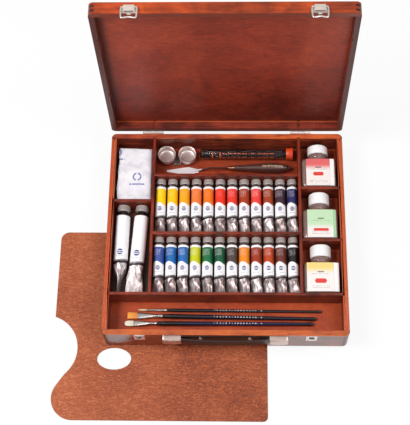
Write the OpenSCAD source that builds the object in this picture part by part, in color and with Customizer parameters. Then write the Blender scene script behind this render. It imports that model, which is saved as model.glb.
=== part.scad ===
// Wooden artist's oil painting case on its palette, lid open, packed with paints and tools.
// Millimetres. Origin on the surface it stands on, under the centre of the case. X right, Y back, Z up.

/* [Case] */
// Width of the case, left to right
case_w = 400; // [380:1:420]
// Depth of the case, front to back
case_d = 365; // [356:1:380]
// Height of the tray's walls
tray_h = 55; // [53:1:62]
// Height of the lid, panel included
lid_h = 20.5; // [18:0.5:26]
// Thickness of the walls of tray and lid
rail_t = 9; // [8:0.5:10]
// Radius of the upright corners
corner_r = 8; // [4:0.5:8.5]
// Target pitch of the finger joints
finger_pitch = 5.1; // [4:0.1:7]
// Thickness of the plywood panels of tray and lid
panel_t = 4; // [3:0.5:5]
// Depth that a panel or divider is housed in a wall
housing = 2.5; // [1.5:0.1:3]
// Depth of the tray's floor below the rim
floor_depth = 40; // [38:0.5:44]
// Width of the groove along the tops of the tray's side walls
groove_w = 2.7; // [2:0.1:3]
// Depth of that groove
groove_depth = 4; // [2:0.5:6]
// Step from the lid's top edge down to its panel
lid_step = 1; // [0.5:0.5:2]

/* [Dividers] */
// Thickness of a divider
divider_t = 4.6; // [4:0.1:6]
// Step from the rim down to a divider's top edge
divider_drop = 0.8; // [0.4:0.1:2]
// Middle of a column divider, from the middle of the case
column_x = 125; // [124.6:0.1:127]
// Width of the brush lane, wall to divider
brush_lane = 60; // [56:0.5:62]
// Depth of each compartment for small tubes, front to back
tube_bay = 103; // [101:0.5:105]
// Depth of the compartment for large tubes, front to back
large_tube_bay = 162.4; // [160:0.5:168]
// Depth of a bottle compartment, front to back
bottle_bay = 91; // [87:0.5:94]

/* [Hinges] */
// Radius of a hinge's knuckle
knuckle_r = 3.5; // [3:0.1:4]
// Radius of a hinge's pin
hinge_pin_r = 1.3; // [1:0.1:1.6]
// Running clearance of a pin in its bore
running_gap = 0.05; // [0.03:0.01:0.08]
// Width of a hinge
hinge_w = 36; // [30:1:44]
// Middle of a hinge, from the middle of the case
hinge_x = 128; // [110:1:150]
// Thickness of the hinge leaves
leaf_t = 1.2; // [1:0.1:1.6]
// Length of a hinge leaf from the rim
leaf_l = 15; // [13:0.5:17]

/* [Latches] */
// Middle of a latch, from the middle of the case
latch_x = 139; // [130:1:150]
// Width of a latch's loop
loop_w = 25; // [25:0.5:28]
// Width of a latch's lever
lever_w = 16.2; // [15:0.1:16.6]
// Radius of the latches' pins
latch_pin_r = 0.9; // [0.8:0.05:1]
// Width of a strike plate
strike_w = 17.5; // [16:0.5:20]
// Height of a strike plate
strike_h = 20.5; // [18:0.5:24]

/* [Handle] */
// Length of the handle over its end caps
handle_l = 203; // [196:1:220]
// Height of the handle's backing strip and end caps
handle_h = 22; // [20:0.5:26]
// Middle of the handle below the rim
handle_drop = 14.5; // [14:0.5:18]
// Width of an end cap
end_cap_w = 30; // [28:0.5:34]
// How far an end cap stands out
end_cap_out = 9; // [9:0.5:12]
// Thickness of an end cap's steel
end_cap_t = 1.2; // [1:0.1:1.4]
// Thickness of the strap
strap_t = 2.4; // [2:0.1:2.6]
// Middle of a backing strip screw, from the middle of the handle
handle_screw_x = 40; // [30:1:46]

/* [Palette] */
// Thickness of the palette
palette_t = 3; // [2.5:0.5:5]
// Width of the palette
palette_w = 354; // [350:1:360]
// Depth of the palette
palette_d = 327.5; // [320:0.5:335]

/* [Contents] */
// Radius of a small tube's body
tube_r = 8.8; // [8:0.1:9.4]
// Length of a small tube, cap included
tube_l = 100; // [96:0.5:100.5]
// Length of a small tube's label
tube_body_l = 55; // [48:0.5:60]
// Depth of the small tubes' bed board below the rim
tube_bed = 27; // [26:0.5:30]
// Radius of a large tube's body
large_tube_r = 12; // [11:0.1:12.6]
// Length of a large tube, cap included
large_tube_l = 160; // [150:0.5:160.5]
// Length of a large tube's label
large_tube_body_l = 78; // [70:1:95]
// Depth of the large tubes' bed board below the rim
large_tube_bed = 34; // [33:0.5:36]
// Width of a bottle
bottle_w = 61; // [54:0.5:62]
// Thickness of a bottle
bottle_t = 36; // [35.6:0.2:38]
// Length of a bottle's body
bottle_body_l = 54; // [48:0.5:55]
// Radius of a bottle's cap
bottle_cap_r = 17.6; // [16:0.1:17.8]
// Length of a brush
brush_l = 305; // [280:1:340]
// Radius of a dipper cup's mouth
dipper_r = 14.9; // [13:0.1:16]
// Radius of the charcoal tube
charcoal_r = 8.8; // [8:0.1:10]

/* [Hidden] */
$fn = 48;

// A hair that a cut reaches past the face it opens
cut = 1;
// Play of a piece that lies loose in its place
loose_gap = 0.3;
// Seam between two pieces that are glued or crimped together
seam = 0.05;

// Levels
base_z = palette_t;
rim_z = base_z + tray_h;
// The rim's groove, in from the wall's outer face
groove_in = (rail_t - groove_w) / 2;
floor_z = rim_z - floor_depth;
divider_top_z = rim_z - divider_drop;

// Inner faces and divider lines
inner_x = case_w / 2 - rail_t;
front_y = -case_d / 2;
back_y = case_d / 2;
inner_front_y = front_y + rail_t;
inner_back_y = back_y - rail_t;
brush_divider_y = inner_front_y + brush_lane + divider_t / 2;
bay_front_y = brush_divider_y + divider_t / 2;
row_divider_1_y = bay_front_y + tube_bay + divider_t / 2;
row_divider_2_y = row_divider_1_y + tube_bay + divider_t;
large_divider_y = bay_front_y + large_tube_bay + divider_t / 2;
bottle_divider_1_y = bay_front_y + bottle_bay + divider_t / 2;
bottle_divider_2_y = bottle_divider_1_y + bottle_bay + divider_t;
column_inner_x = column_x - divider_t / 2;
column_outer_x = column_x + divider_t / 2;
side_bay_w = inner_x - column_outer_x;
side_bay_x = (inner_x + column_outer_x) / 2;

// The lid's hinge line, just behind the tray's back face and level with the rim
hinge_y = back_y + knuckle_r;
lid_open = 90;

// ---------------------------------------------------------------- helpers

// Points of an arc about c, from angle a0 to a1
function arc(c, r, a0, a1, n = 12) =
    [for (i = [0:n]) let (a = a0 + (a1 - a0) * i / n) [c[0] + r * cos(a), c[1] + r * sin(a)]];

// Rectangle centred on the origin with rounded corners
module rounded_plate(w, d, r) {
    square([w - 2 * r, d], center = true);
    square([w, d - 2 * r], center = true);
    for (x = [-1, 1], y = [-1, 1])
        translate([x * (w / 2 - r), y * (d / 2 - r)]) circle(r);
}

// Block between two corners
module block(low, high) {
    translate(low) cube(high - low);
}

// Moves the lid's pieces, modelled shut, to where they stand open
module opened() {
    translate([0, hinge_y, rim_z]) rotate([-lid_open, 0, 0]) translate([0, -hinge_y, -rim_z]) children();
}

// Cylinder along X about a point
module rod_x(p, r, l) {
    translate(p) rotate([0, 90, 0]) cylinder(h = l, r = r, center = true);
}

// Cylinder along Y from a point backwards
module rod_y(p, r, l) {
    translate(p) rotate([-90, 0, 0]) cylinder(h = l, r = r);
}

// Profile turned about the Y axis; its points are [radius, distance along Y]
module turned_y(p, points) {
    translate(p) rotate([-90, 0, 0]) rotate_extrude() polygon(points);
}

// Profile turned about the X axis; its points are [radius, distance along X]
module turned_x(p, points) {
    translate(p) rotate([0, 90, 0]) rotate_extrude() polygon(points);
}

// ---------------------------------------------------------------- walls

function finger_count(h) = 2 * round(h / finger_pitch / 2) + 1;

// The fingers of a wall's end: every second course of the corner post, from course 'first'
module fingers(h, z0, first, x, y) {
    n = finger_count(h);
    for (i = [first:2:n - 1])
        translate([x - rail_t / 2, y - rail_t / 2, z0 + i * h / n]) cube([rail_t, rail_t, h / n]);
}

module case_outline(h, z0) {
    translate([0, 0, z0]) linear_extrude(h) rounded_plate(case_w, case_d, corner_r);
}

// Front or back wall: side is -1 at the front, 1 at the back. Its ends take the even courses.
module long_wall(side, h, z0) {
    y = side * (case_d - rail_t) / 2;
    intersection() {
        case_outline(h, z0);
        union() {
            block([-inner_x, y - rail_t / 2, z0], [inner_x, y + rail_t / 2, z0 + h]);
            for (x = [-1, 1]) fingers(h, z0, 0, x * (case_w - rail_t) / 2, y);
        }
    }
}

// Left or right wall: side is -1 on the left, 1 on the right. Its ends take the odd courses.
module side_wall(side, h, z0) {
    x = side * (case_w - rail_t) / 2;
    intersection() {
        case_outline(h, z0);
        union() {
            block([x - rail_t / 2, inner_front_y, z0], [x + rail_t / 2, inner_back_y, z0 + h]);
            for (y = [-1, 1]) fingers(h, z0, 1, x, y * (case_d - rail_t) / 2);
        }
    }
}

// What a housed panel takes up: the space inside the walls and its housing in them
module housed_panel(z0, t) {
    w = 2 * (inner_x + housing);
    d = case_d - 2 * (rail_t - housing);
    translate([-w / 2, -d / 2, z0]) cube([w, d, t]);
}

module tray_panel_space() { housed_panel(floor_z - panel_t, panel_t); }
module lid_panel_space() { housed_panel(rim_z + lid_h - lid_step - panel_t, panel_t); }

// Housings for the dividers' ends, cut through tray and lid in one pass before they were parted
module divider_housings(z0, z1) {
    for (x = [-1, 1])
        block([x * column_x - divider_t / 2, inner_back_y - cut, z0],
              [x * column_x + divider_t / 2, inner_back_y + housing, z1]);
    for (x = [-1, 1]) side_housing(x, brush_divider_y, z0, z1);
    side_housing(-1, large_divider_y, z0, z1);
    side_housing(1, bottle_divider_1_y, z0, z1);
    side_housing(1, bottle_divider_2_y, z0, z1);
}

module side_housing(side, y, z0, z1) {
    x0 = side > 0 ? inner_x - cut : -inner_x - housing;
    block([x0, y - divider_t / 2, z0], [x0 + cut + housing, y + divider_t / 2, z1]);
}

// Groove along the top of a side wall, between the front and back walls
module rim_groove(side) {
    x0 = side * (case_w / 2 - groove_in) - (side > 0 ? groove_w : 0);
    block([x0, inner_front_y, rim_z - groove_depth], [x0 + groove_w, inner_back_y, rim_z + cut]);
}

module tray_wall_cuts() {
    tray_panel_space();
    divider_housings(floor_z, rim_z + cut);
}

module lid_wall_cuts() {
    lid_panel_space();
    divider_housings(rim_z - cut, rim_z + lid_h - lid_step - panel_t);
}

module tray_front() {
    color("sienna") difference() {
        long_wall(-1, tray_h, base_z);
        tray_wall_cuts();
        tray_screw_shanks();
    }
}

module tray_back() {
    color("sienna") difference() {
        long_wall(1, tray_h, base_z);
        tray_wall_cuts();
        tray_screw_shanks();
    }
}

module tray_left() {
    color("sienna") difference() {
        side_wall(-1, tray_h, base_z);
        tray_wall_cuts();
        rim_groove(-1);
    }
}

module tray_right() {
    color("sienna") difference() {
        side_wall(1, tray_h, base_z);
        tray_wall_cuts();
        rim_groove(1);
    }
}

module tray_bottom() {
    color("saddlebrown") tray_panel_space();
}

module lid_front() {
    color("sienna") opened() difference() {
        long_wall(-1, lid_h, rim_z);
        lid_wall_cuts();
        lid_screw_shanks();
    }
}

module lid_back() {
    color("sienna") opened() difference() {
        long_wall(1, lid_h, rim_z);
        lid_wall_cuts();
        lid_screw_shanks();
    }
}

module lid_left() {
    color("sienna") opened() difference() {
        side_wall(-1, lid_h, rim_z);
        lid_wall_cuts();
    }
}

module lid_right() {
    color("sienna") opened() difference() {
        side_wall(1, lid_h, rim_z);
        lid_wall_cuts();
    }
}

module lid_panel() {
    color("saddlebrown") opened() lid_panel_space();
}

// ---------------------------------------------------------------- dividers

// Depth that one divider is let into another
divider_notch = 1.5;

module column_dividers() {
    color("sienna") for (x = [-1, 1]) difference() {
        block([x * column_x - divider_t / 2, bay_front_y - divider_notch, floor_z],
              [x * column_x + divider_t / 2, inner_back_y + housing, divider_top_z]);
        divider_ends(divider_notch);
    }
}

// The dividers that end in a column divider, with their ends let in
module divider_ends(let_in) {
    for (y = [row_divider_1_y, row_divider_2_y])
        block([-column_inner_x - let_in, y - divider_t / 2, floor_z],
              [column_inner_x + let_in, y + divider_t / 2, divider_top_z]);
    for (y = [bottle_divider_1_y, bottle_divider_2_y])
        block([column_outer_x - let_in, y - divider_t / 2, floor_z],
              [inner_x + housing, y + divider_t / 2, divider_top_z]);
    block([-inner_x - housing, large_divider_y - divider_t / 2, floor_z],
          [-column_outer_x + let_in, large_divider_y + divider_t / 2, divider_top_z]);
}

module row_dividers() {
    color("sienna") intersection() {
        divider_ends(divider_notch);
        block([-column_x, front_y, base_z], [column_x, back_y, rim_z]);
    }
}

module side_dividers() {
    color("sienna") difference() {
        divider_ends(divider_notch);
        block([-column_x, front_y, base_z], [column_x, back_y, rim_z + cut]);
    }
}

module brush_divider() {
    color("sienna") difference() {
        block([-inner_x - housing, brush_divider_y - divider_t / 2, floor_z],
              [inner_x + housing, brush_divider_y + divider_t / 2, divider_top_z]);
        for (x = [-1, 1])
            block([x * column_x - divider_t / 2, bay_front_y - divider_notch, floor_z - cut],
                  [x * column_x + divider_t / 2, bay_front_y + cut, rim_z + cut]);
    }
}

// Boards on battens that lift the tubes to hand height
bed_board_t = 3;
batten_w = 12;

module bed(x0, x1, y0, y1, top) {
    block([x0 + loose_gap, y0 + loose_gap, top - bed_board_t], [x1 - loose_gap, y1 - loose_gap, top]);
    for (y = [y0 + loose_gap, y1 - loose_gap - batten_w])
        block([x0 + loose_gap, y, floor_z], [x1 - loose_gap, y + batten_w, top - bed_board_t]);
}

module tube_beds() {
    color("peru") {
        for (y = [bay_front_y, row_divider_1_y + divider_t / 2])
            bed(-column_inner_x, column_inner_x, y, y + tube_bay, rim_z - tube_bed);
        bed(-inner_x, -column_outer_x, bay_front_y, bay_front_y + large_tube_bay,
            rim_z - large_tube_bed);
    }
}

// ---------------------------------------------------------------- hinges

// The tray's knuckle is the middle third, the lid's two are the outer thirds
knuckle_gap = 0.3;
knuckle_w = hinge_w / 3;
hinge_screw_r = 1.4;
hinge_head_r = 2.6;
hinge_head_t = 0.8;
hinge_screw_l = 7;
hinge_screw_drop = 10;
hinge_screw_step = 12;
leaf_fit_r = hinge_pin_r + running_gap;
stop_lug_l = 6;

module hinge_tray_leaves() {
    color("silver") for (x = [-1, 1]) translate([x * hinge_x, 0, 0]) difference() {
        union() {
            block([-hinge_w / 2, back_y, rim_z - leaf_l], [hinge_w / 2, back_y + leaf_t, rim_z - knuckle_r - knuckle_gap]);
            block([-knuckle_w / 2 + knuckle_gap, back_y, rim_z - leaf_l],
                  [knuckle_w / 2 - knuckle_gap, back_y + leaf_t, rim_z]);
            rod_x([0, hinge_y, rim_z], knuckle_r, knuckle_w - 2 * knuckle_gap);
            // Stop lug under the open lid's leaf
            block([-knuckle_w / 2 + knuckle_gap, hinge_y, rim_z - knuckle_r],
                  [knuckle_w / 2 - knuckle_gap, hinge_y + stop_lug_l, rim_z + knuckle_r - leaf_t - knuckle_gap]);
        }
        rod_x([0, hinge_y, rim_z], hinge_pin_r, hinge_w);
        hinge_screws(1, hinge_screw_r, leaf_t + 2 * cut, back_y - cut);
    }
}

// The screws of one tray leaf: along Y from y0
module hinge_screws(sign, r, l, y0) {
    for (x = [-1:1]) rod_y([x * hinge_screw_step, y0, rim_z - sign * hinge_screw_drop], r, l);
}

module hinge_lid_leaves() {
    color("silver") opened() for (x = [-1, 1]) translate([x * hinge_x, 0, 0]) difference() {
        union() {
            block([-hinge_w / 2, back_y, rim_z + knuckle_r + knuckle_gap], [hinge_w / 2, back_y + leaf_t, rim_z + leaf_l]);
            for (k = [-1, 1]) {
                block([k * knuckle_w - knuckle_w / 2, back_y, rim_z],
                      [k * knuckle_w + knuckle_w / 2, back_y + leaf_t, rim_z + leaf_l]);
                rod_x([k * knuckle_w, hinge_y, rim_z], knuckle_r, knuckle_w);
            }
        }
        rod_x([0, hinge_y, rim_z], leaf_fit_r, hinge_w + 2 * cut);
        hinge_screws(-1, hinge_screw_r, leaf_t + 2 * cut, back_y - cut);
    }
}

module hinge_pins() {
    color("gray") for (x = [-1, 1]) rod_x([x * hinge_x, hinge_y, rim_z], hinge_pin_r, hinge_w);
}

// ---------------------------------------------------------------- latches

latch_plate_t = 1.2;
latch_ear_t = 1.2;
latch_side_gap = 0.3;
// Lever pivot and loop pivot, as height above the rim and distance out from the lid's front
lever_pivot = [4, 3.4];
loop_pivot = [9.6, 3.6];
lever_top = 12;
lever_t = 1.6;
lever_out = 6;
lever_cheek_t = 1.3;
loop_t = 1.6;
loop_band = 2.5;
loop_reach = 11.3;
loop_bar_h = 3;
// How far the loop's foot stands out from its head at rest
loop_lean = 6;
strike_top = 2;
strike_t = 1.2;
lip_out = 4.3;
lip_t = 1.4;
lip_w = 8;
lip_drop = 4.4;
latch_screw_r = 1;
latch_screw_l = 6;
latch_screw_head_r = 1.8;
latch_screw_head_t = 0.6;

module latch_plates() {
    color("silver") opened() for (x = [-1, 1]) translate([x * latch_x, front_y, rim_z]) difference() {
        union() {
            block([-loop_w / 2 + 1, -latch_plate_t, 0.8], [loop_w / 2 - 1, 0, lever_top + 0.6]);
            // Ears outside the lever's cheeks
            for (e = [-1, 1]) translate([e * (lever_w / 2 + latch_side_gap + latch_ear_t / 2), 0, 0])
                block([-latch_ear_t / 2, -lever_pivot[1] - 1.6, lever_pivot[0] - 2],
                      [latch_ear_t / 2, -latch_plate_t, lever_pivot[0] + 2]);
            // Tongue that guides the loop's bar
            block([-2.9, -latch_plate_t, -strike_top + loose_gap], [2.9, 0, 0.8]);
        }
        rod_x([0, -lever_pivot[1], lever_pivot[0]], latch_pin_r, loop_w);
        for (s = [-1, 1]) rod_y([s * 5, -latch_plate_t - cut, 9.6], latch_screw_r, latch_plate_t + 2 * cut);
    }
}

module latch_pins() {
    color("gray") opened() for (x = [-1, 1])
        rod_x([x * latch_x, front_y - lever_pivot[1], rim_z + lever_pivot[0]], latch_pin_r,
              lever_w + 2 * (latch_side_gap + latch_ear_t));
}

module latch_lever(side) {
    color("gainsboro") opened() translate([side * latch_x, front_y, rim_z]) difference() {
        union() {
            block([-lever_w / 2, -lever_out, 2.4], [lever_w / 2, -lever_out + lever_t, lever_top]);
            for (e = [-1, 1]) translate([e * (lever_w - lever_cheek_t) / 2, 0, 0])
                block([-lever_cheek_t / 2, -lever_out, 2.4], [lever_cheek_t / 2, -2.2, lever_top]);
        }
        rod_x([0, -lever_pivot[1], lever_pivot[0]], latch_pin_r + running_gap, loop_w);
        rod_x([0, -loop_pivot[1], loop_pivot[0]], latch_pin_r + running_gap, loop_w);
    }
}

module latch_lever_left() { latch_lever(-1); }
module latch_lever_right() { latch_lever(1); }

module latch_loop(side) {
    leg_l = loop_pivot[0] + loop_reach;
    stub_l = loop_w / 2 - lever_w / 2 + lever_cheek_t + 0.5;
    color("silver") opened()
        translate([side * latch_x, front_y - loop_pivot[1], rim_z + loop_pivot[0]]) rotate([-loop_lean, 0, 0]) {
            for (e = [-1, 1]) {
                block([e * (loop_w - loop_band) / 2 - loop_band / 2, -loop_t / 2, -leg_l],
                      [e * (loop_w - loop_band) / 2 + loop_band / 2, loop_t / 2, 0]);
                rod_x([e * (loop_w - loop_band) / 2, 0, 0], loop_t, loop_band);
                rod_x([e * (loop_w / 2 - stub_l / 2), 0, 0], latch_pin_r, stub_l);
            }
            block([-loop_w / 2, -loop_t / 2, -leg_l], [loop_w / 2, loop_t / 2, -leg_l + loop_bar_h]);
        }
}

module latch_loop_left() { latch_loop(-1); }
module latch_loop_right() { latch_loop(1); }

module strikes() {
    color("silver") for (x = [-1, 1]) translate([x * latch_x, front_y, rim_z]) difference() {
        union() {
            block([-strike_w / 2, -strike_t, -strike_top - strike_h], [strike_w / 2, 0, -strike_top]);
            block([-lip_w / 2, -lip_out, -lip_drop - lip_t], [lip_w / 2, 0, -lip_drop]);
        }
        for (s = [-1, 1])
            rod_y([s * 5.5, -strike_t - cut, -strike_top - strike_h + 4], latch_screw_r, strike_t + 2 * cut);
    }
}

// ---------------------------------------------------------------- handle

backing_t = 1.5;
handle_z = rim_z - handle_drop;
handle_screw_r = 2;
handle_screw_head_r = 3.6;
handle_screw_head_t = 1.2;
handle_screw_l = 8;
strap_h = handle_h - 2;
// Distance out from the case of the grip's inner face, and of the middle of the bead that ends the strap
grip_out = 6.3;
strap_end_out = 4.4;
strap_bead_r = strap_end_out - backing_t - loose_gap;
strap_free_l = 23.5;
grip_half_l = handle_l / 2 - end_cap_w - strap_free_l;
link_l = 28;
strap_gap = 0.4;
link_slope = asin((grip_out + strap_t / 2 - strap_end_out) / link_l);

module handle_backing() {
    l = handle_l - 2 * end_cap_t;
    color("black") difference() {
        block([-l / 2, front_y - backing_t, handle_z - handle_h / 2 + 1],
              [l / 2, front_y, handle_z + handle_h / 2 - 1]);
        for (x = [-1, 1])
            rod_y([x * handle_screw_x, front_y - backing_t - cut, handle_z], handle_screw_r, backing_t + 2 * cut);
    }
}

// Front of an end cap's steel at distance out, a little bowed
end_cap_bow = 1;
function end_cap_front(out) = let (
    half_w = end_cap_w / 2,
    r = (half_w * half_w + end_cap_bow * end_cap_bow) / (2 * end_cap_bow),
    spread = asin(half_w / r))
    arc([handle_l / 2 - half_w, r - out], r, 270 - spread, 270 + spread, 10);

// A steel bridge, open above and below, that holds the strap's end
module handle_end_caps() {
    inner_r = handle_l / 2 - end_cap_w;
    color("silver") for (x = [0, 1]) mirror([x, 0, 0])
        translate([0, front_y, handle_z - handle_h / 2]) linear_extrude(handle_h) difference() {
            polygon(concat(end_cap_front(end_cap_out), [[handle_l / 2, 0], [inner_r, 0]]));
            translate([-end_cap_t, 0])
                polygon(concat([[inner_r - cut, end_cap_bow + end_cap_t - end_cap_out]],
                               end_cap_front(end_cap_out - end_cap_t),
                               [[handle_l / 2, cut], [inner_r - cut, cut]]));
        }
}

module handle_grip() {
    color("black")
        block([-grip_half_l + strap_t / 2 + strap_gap, front_y - grip_out - strap_t, handle_z - strap_h / 2],
              [grip_half_l - strap_t / 2 - strap_gap, front_y - grip_out, handle_z + strap_h / 2]);
}

module handle_link(side) {
    color("black") translate([side * grip_half_l, front_y - grip_out - strap_t / 2, handle_z - strap_h / 2])
        mirror([side > 0 ? 0 : 1, 0, 0]) rotate([0, 0, link_slope]) {
            cylinder(h = strap_h, r = strap_t / 2);
            translate([0, -strap_t / 2, 0]) cube([link_l, strap_t, strap_h]);
            translate([link_l, 0, 0]) cylinder(h = strap_h, r = strap_bead_r);
        }
}

module handle_link_left() { handle_link(-1); }
module handle_link_right() { handle_link(1); }

// ---------------------------------------------------------------- screws

module tray_screw_shanks() {
    for (x = [-1, 1]) {
        translate([x * hinge_x, 0, 0])
            hinge_screws(1, hinge_screw_r, hinge_screw_l, back_y + leaf_t - hinge_screw_l);
        for (s = [-1, 1])
            rod_y([x * latch_x + s * 5.5, front_y - strike_t, rim_z - strike_top - strike_h + 4],
                  latch_screw_r, latch_screw_l);
        rod_y([x * handle_screw_x, front_y - backing_t, handle_z], handle_screw_r, handle_screw_l);
    }
}

module tray_screws() {
    color("silver") {
        tray_screw_shanks();
        for (x = [-1, 1]) {
            translate([x * hinge_x, 0, 0]) hinge_screws(1, hinge_head_r, hinge_head_t, back_y + leaf_t);
            for (s = [-1, 1])
                rod_y([x * latch_x + s * 5.5, front_y - strike_t - latch_screw_head_t,
                       rim_z - strike_top - strike_h + 4], latch_screw_head_r, latch_screw_head_t);
            rod_y([x * handle_screw_x, front_y - backing_t - handle_screw_head_t, handle_z],
                  handle_screw_head_r, handle_screw_head_t);
        }
    }
}

module lid_screw_shanks() {
    for (x = [-1, 1]) {
        translate([x * hinge_x, 0, 0])
            hinge_screws(-1, hinge_screw_r, hinge_screw_l, back_y + leaf_t - hinge_screw_l);
        for (s = [-1, 1])
            rod_y([x * latch_x + s * 5, front_y - latch_plate_t, rim_z + 9.6], latch_screw_r, latch_screw_l);
    }
}

module lid_screws() {
    color("silver") opened() {
        lid_screw_shanks();
        for (x = [-1, 1]) {
            translate([x * hinge_x, 0, 0]) hinge_screws(-1, hinge_head_r, hinge_head_t, back_y + leaf_t);
            for (s = [-1, 1])
                rod_y([x * latch_x + s * 5, front_y - latch_plate_t - latch_screw_head_t, rim_z + 9.6],
                      latch_screw_head_r, latch_screw_head_t);
        }
    }
}

// ---------------------------------------------------------------- palette

// The palette lies under the case, out to the left and the front
palette_left = -285;
palette_back = 19;
palette_right = palette_left + palette_w;
palette_front = palette_back - palette_d;
bite_c = [palette_left - 18, palette_back - 208.5];
bite_r = 58;
lobe_c = [palette_left + 38, palette_front + 36.5];
lobe_r = 36.5;
thumb_c = [palette_left + 101.7, palette_back - 225];
thumb_r = [28, 18.4];

module palette() {
    corner = 14;
    small_corner = 8;
    color("chocolate") linear_extrude(palette_t) difference() {
        polygon(concat(
            arc([palette_left + corner, palette_back - corner], corner, 90, 180),
            arc(bite_c, bite_r, 72, -48, 24),
            arc(lobe_c, lobe_r, 144, 270, 24),
            arc([palette_right - small_corner, palette_front + small_corner], small_corner, 270, 360, 8),
            arc([palette_right - small_corner, palette_back - small_corner], small_corner, 0, 90, 8)));
        polygon([for (a = [0:7.5:359]) thumb_c + [thumb_r[0] * cos(a), thumb_r[1] * sin(a)]]);
    }
}

// ---------------------------------------------------------------- paint tubes

// A tube lying along Y with its cap at the back end, its axis at height z and its cap's end at y.
// The body narrows to a crimp of a width that is 'twist' degrees off level.
module paint_tube(x, y, z, r, l, body_l, crimp_w, twist) {
    cap_r = r * 0.87;
    cap_l = r * 1.1;
    shoulder_l = r * 0.6;
    neck_r = r * 0.5;
    neck_l = cap_l * 0.7;
    crimp_l = r * 0.5;
    tail_l = l - cap_l - shoulder_l - body_l;
    turned_y([x, y - cap_l, z],
             [[neck_r + seam, 0], [cap_r * 0.97, 0], [cap_r, cap_l * 0.1], [cap_r * 0.96, cap_l * 0.93],
              [cap_r * 0.88, cap_l], [0, cap_l], [0, neck_l + seam], [neck_r + seam, neck_l + seam]]);
    turned_y([x, y - cap_l - shoulder_l - body_l, z],
             [[0, 0], [r, 0], [r, body_l], [neck_r * 1.2, body_l + shoulder_l - seam],
              [neck_r, body_l + shoulder_l - seam], [neck_r, body_l + shoulder_l + neck_l],
              [0, body_l + shoulder_l + neck_l]]);
    translate([x, y - l + tail_l, z]) rotate([0, twist, 0]) hull() {
        translate([0, 4 * seam, 0]) rotate([90, 0, 0]) cylinder(h = 8 * seam, r = r - 2 * seam, $fn = 32);
        block([-crimp_w / 2, -tail_l, -0.5], [crimp_w / 2, -tail_l + crimp_l, 0.5]);
    }
}

tubes_per_row = 12;
tube_pitch = 2 * column_inner_x / tubes_per_row;
row_back = [row_divider_1_y + divider_t / 2 + tube_bay, bay_front_y + tube_bay];
tube_crimp_w = 22.4;
tube_twist = -32;

module tube_group(row, first) {
    for (i = [first:first + 3])
        paint_tube((i - (tubes_per_row - 1) / 2) * tube_pitch, row_back[row] - loose_gap * 2,
                   rim_z - tube_bed + tube_r + loose_gap, tube_r, tube_l, tube_body_l, tube_crimp_w, tube_twist);
}

module tubes_yellow() { color("gold") tube_group(0, 0); }
module tubes_red() { color("red") tube_group(0, 4); }
module tubes_violet() { color("indigo") tube_group(0, 8); }
module tubes_blue() { color("royalblue") tube_group(1, 0); }
module tubes_green() { color("green") tube_group(1, 4); }
module tubes_earth() { color("maroon") tube_group(1, 8); }

// Crimp's width and twist of each large tube, and how far its tail lies over to the left
large_crimp_w = [25, 30];
large_twist = [50, 12];
large_lean = [1.1, 3.4];

// Tube 0 lies at the left, tube 1 at the right
module large_tube(place) {
    translate([-side_bay_x + (place - 0.5) * side_bay_w / 2,
               bay_front_y + large_tube_bay - loose_gap * 2 - large_tube_r * sin(large_lean[place]),
               rim_z - large_tube_bed + large_tube_r + loose_gap])
        rotate([0, 0, -large_lean[place]])
            paint_tube(0, 0, 0, large_tube_r, large_tube_l, large_tube_body_l,
                       large_crimp_w[place], large_twist[place]);
}

module large_tube_left() { color("whitesmoke") large_tube(0); }
module large_tube_right() { color("whitesmoke") large_tube(1); }

// ---------------------------------------------------------------- bottles

bottle_neck_r = 12;
// Neck seen between body and cap, and the part of it inside the cap
bottle_neck_l = 14;
bottle_thread_l = 12;
bottle_shoulder_r = 16;
bottle_shoulder_l = 3;
bottle_cap_l = 16;
bottle_corner_r = 7;
bottle_wall = 2;
bottle_z = floor_z + bottle_t / 2 + loose_gap;
// The bottles lie against the column divider
bottle_x = column_outer_x + loose_gap + bottle_w / 2;
// Free length in a bottle's bay, and the play before the bottle
bottle_free_l = bottle_bay - bottle_body_l - bottle_neck_l - bottle_cap_l - loose_gap;
bottle_play = bottle_free_l * 0.3;
bottle_fronts = [bottle_divider_2_y + divider_t / 2 + bottle_play,
                 bottle_divider_1_y + divider_t / 2 + bottle_play, bay_front_y + bottle_play];

// The space inside a bottle's walls, less a play all round, up to a level l along it
module bottle_inside(l, play) {
    translate([0, 0, bottle_wall + play]) linear_extrude(l - bottle_wall - 2 * play)
        rounded_plate(bottle_w - 2 * bottle_wall - 2 * play, bottle_t - 2 * bottle_wall - 2 * play,
                      bottle_corner_r - bottle_wall);
}

// A flat glass bottle lying on its back, its mouth to the back, and the medium in it
module bottle(place) {
    color("honeydew") translate([bottle_x, bottle_fronts[place], bottle_z]) rotate([-90, 0, 0]) {
        difference() {
            union() {
                linear_extrude(bottle_body_l) rounded_plate(bottle_w, bottle_t, bottle_corner_r);
                cylinder(h = bottle_body_l + bottle_shoulder_l, r = bottle_shoulder_r);
                cylinder(h = bottle_body_l + bottle_neck_l + bottle_thread_l, r = bottle_neck_r);
            }
            bottle_inside(bottle_body_l - bottle_wall, 0);
            translate([0, 0, bottle_body_l / 2]) cylinder(h = bottle_body_l, r = bottle_neck_r - bottle_wall);
        }
        bottle_inside(bottle_body_l - 2 * bottle_wall, seam);
    }
}

module bottle_cap(place) {
    cap_y = bottle_fronts[place] + bottle_body_l + bottle_neck_l + loose_gap;
    color("white") translate([bottle_x, cap_y, bottle_z]) rotate([-90, 0, 0]) difference() {
        cylinder(h = bottle_cap_l, r = bottle_cap_r);
        translate([0, 0, -cut]) cylinder(h = bottle_thread_l + cut, r = bottle_neck_r + running_gap);
    }
}

module bottle_back() { bottle(0); }
module bottle_middle() { bottle(1); }
module bottle_front() { bottle(2); }
module bottle_cap_back() { bottle_cap(0); }
module bottle_cap_middle() { bottle_cap(1); }
module bottle_cap_front() { bottle_cap(2); }

// ---------------------------------------------------------------- cloth, dippers, knife, charcoal

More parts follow.
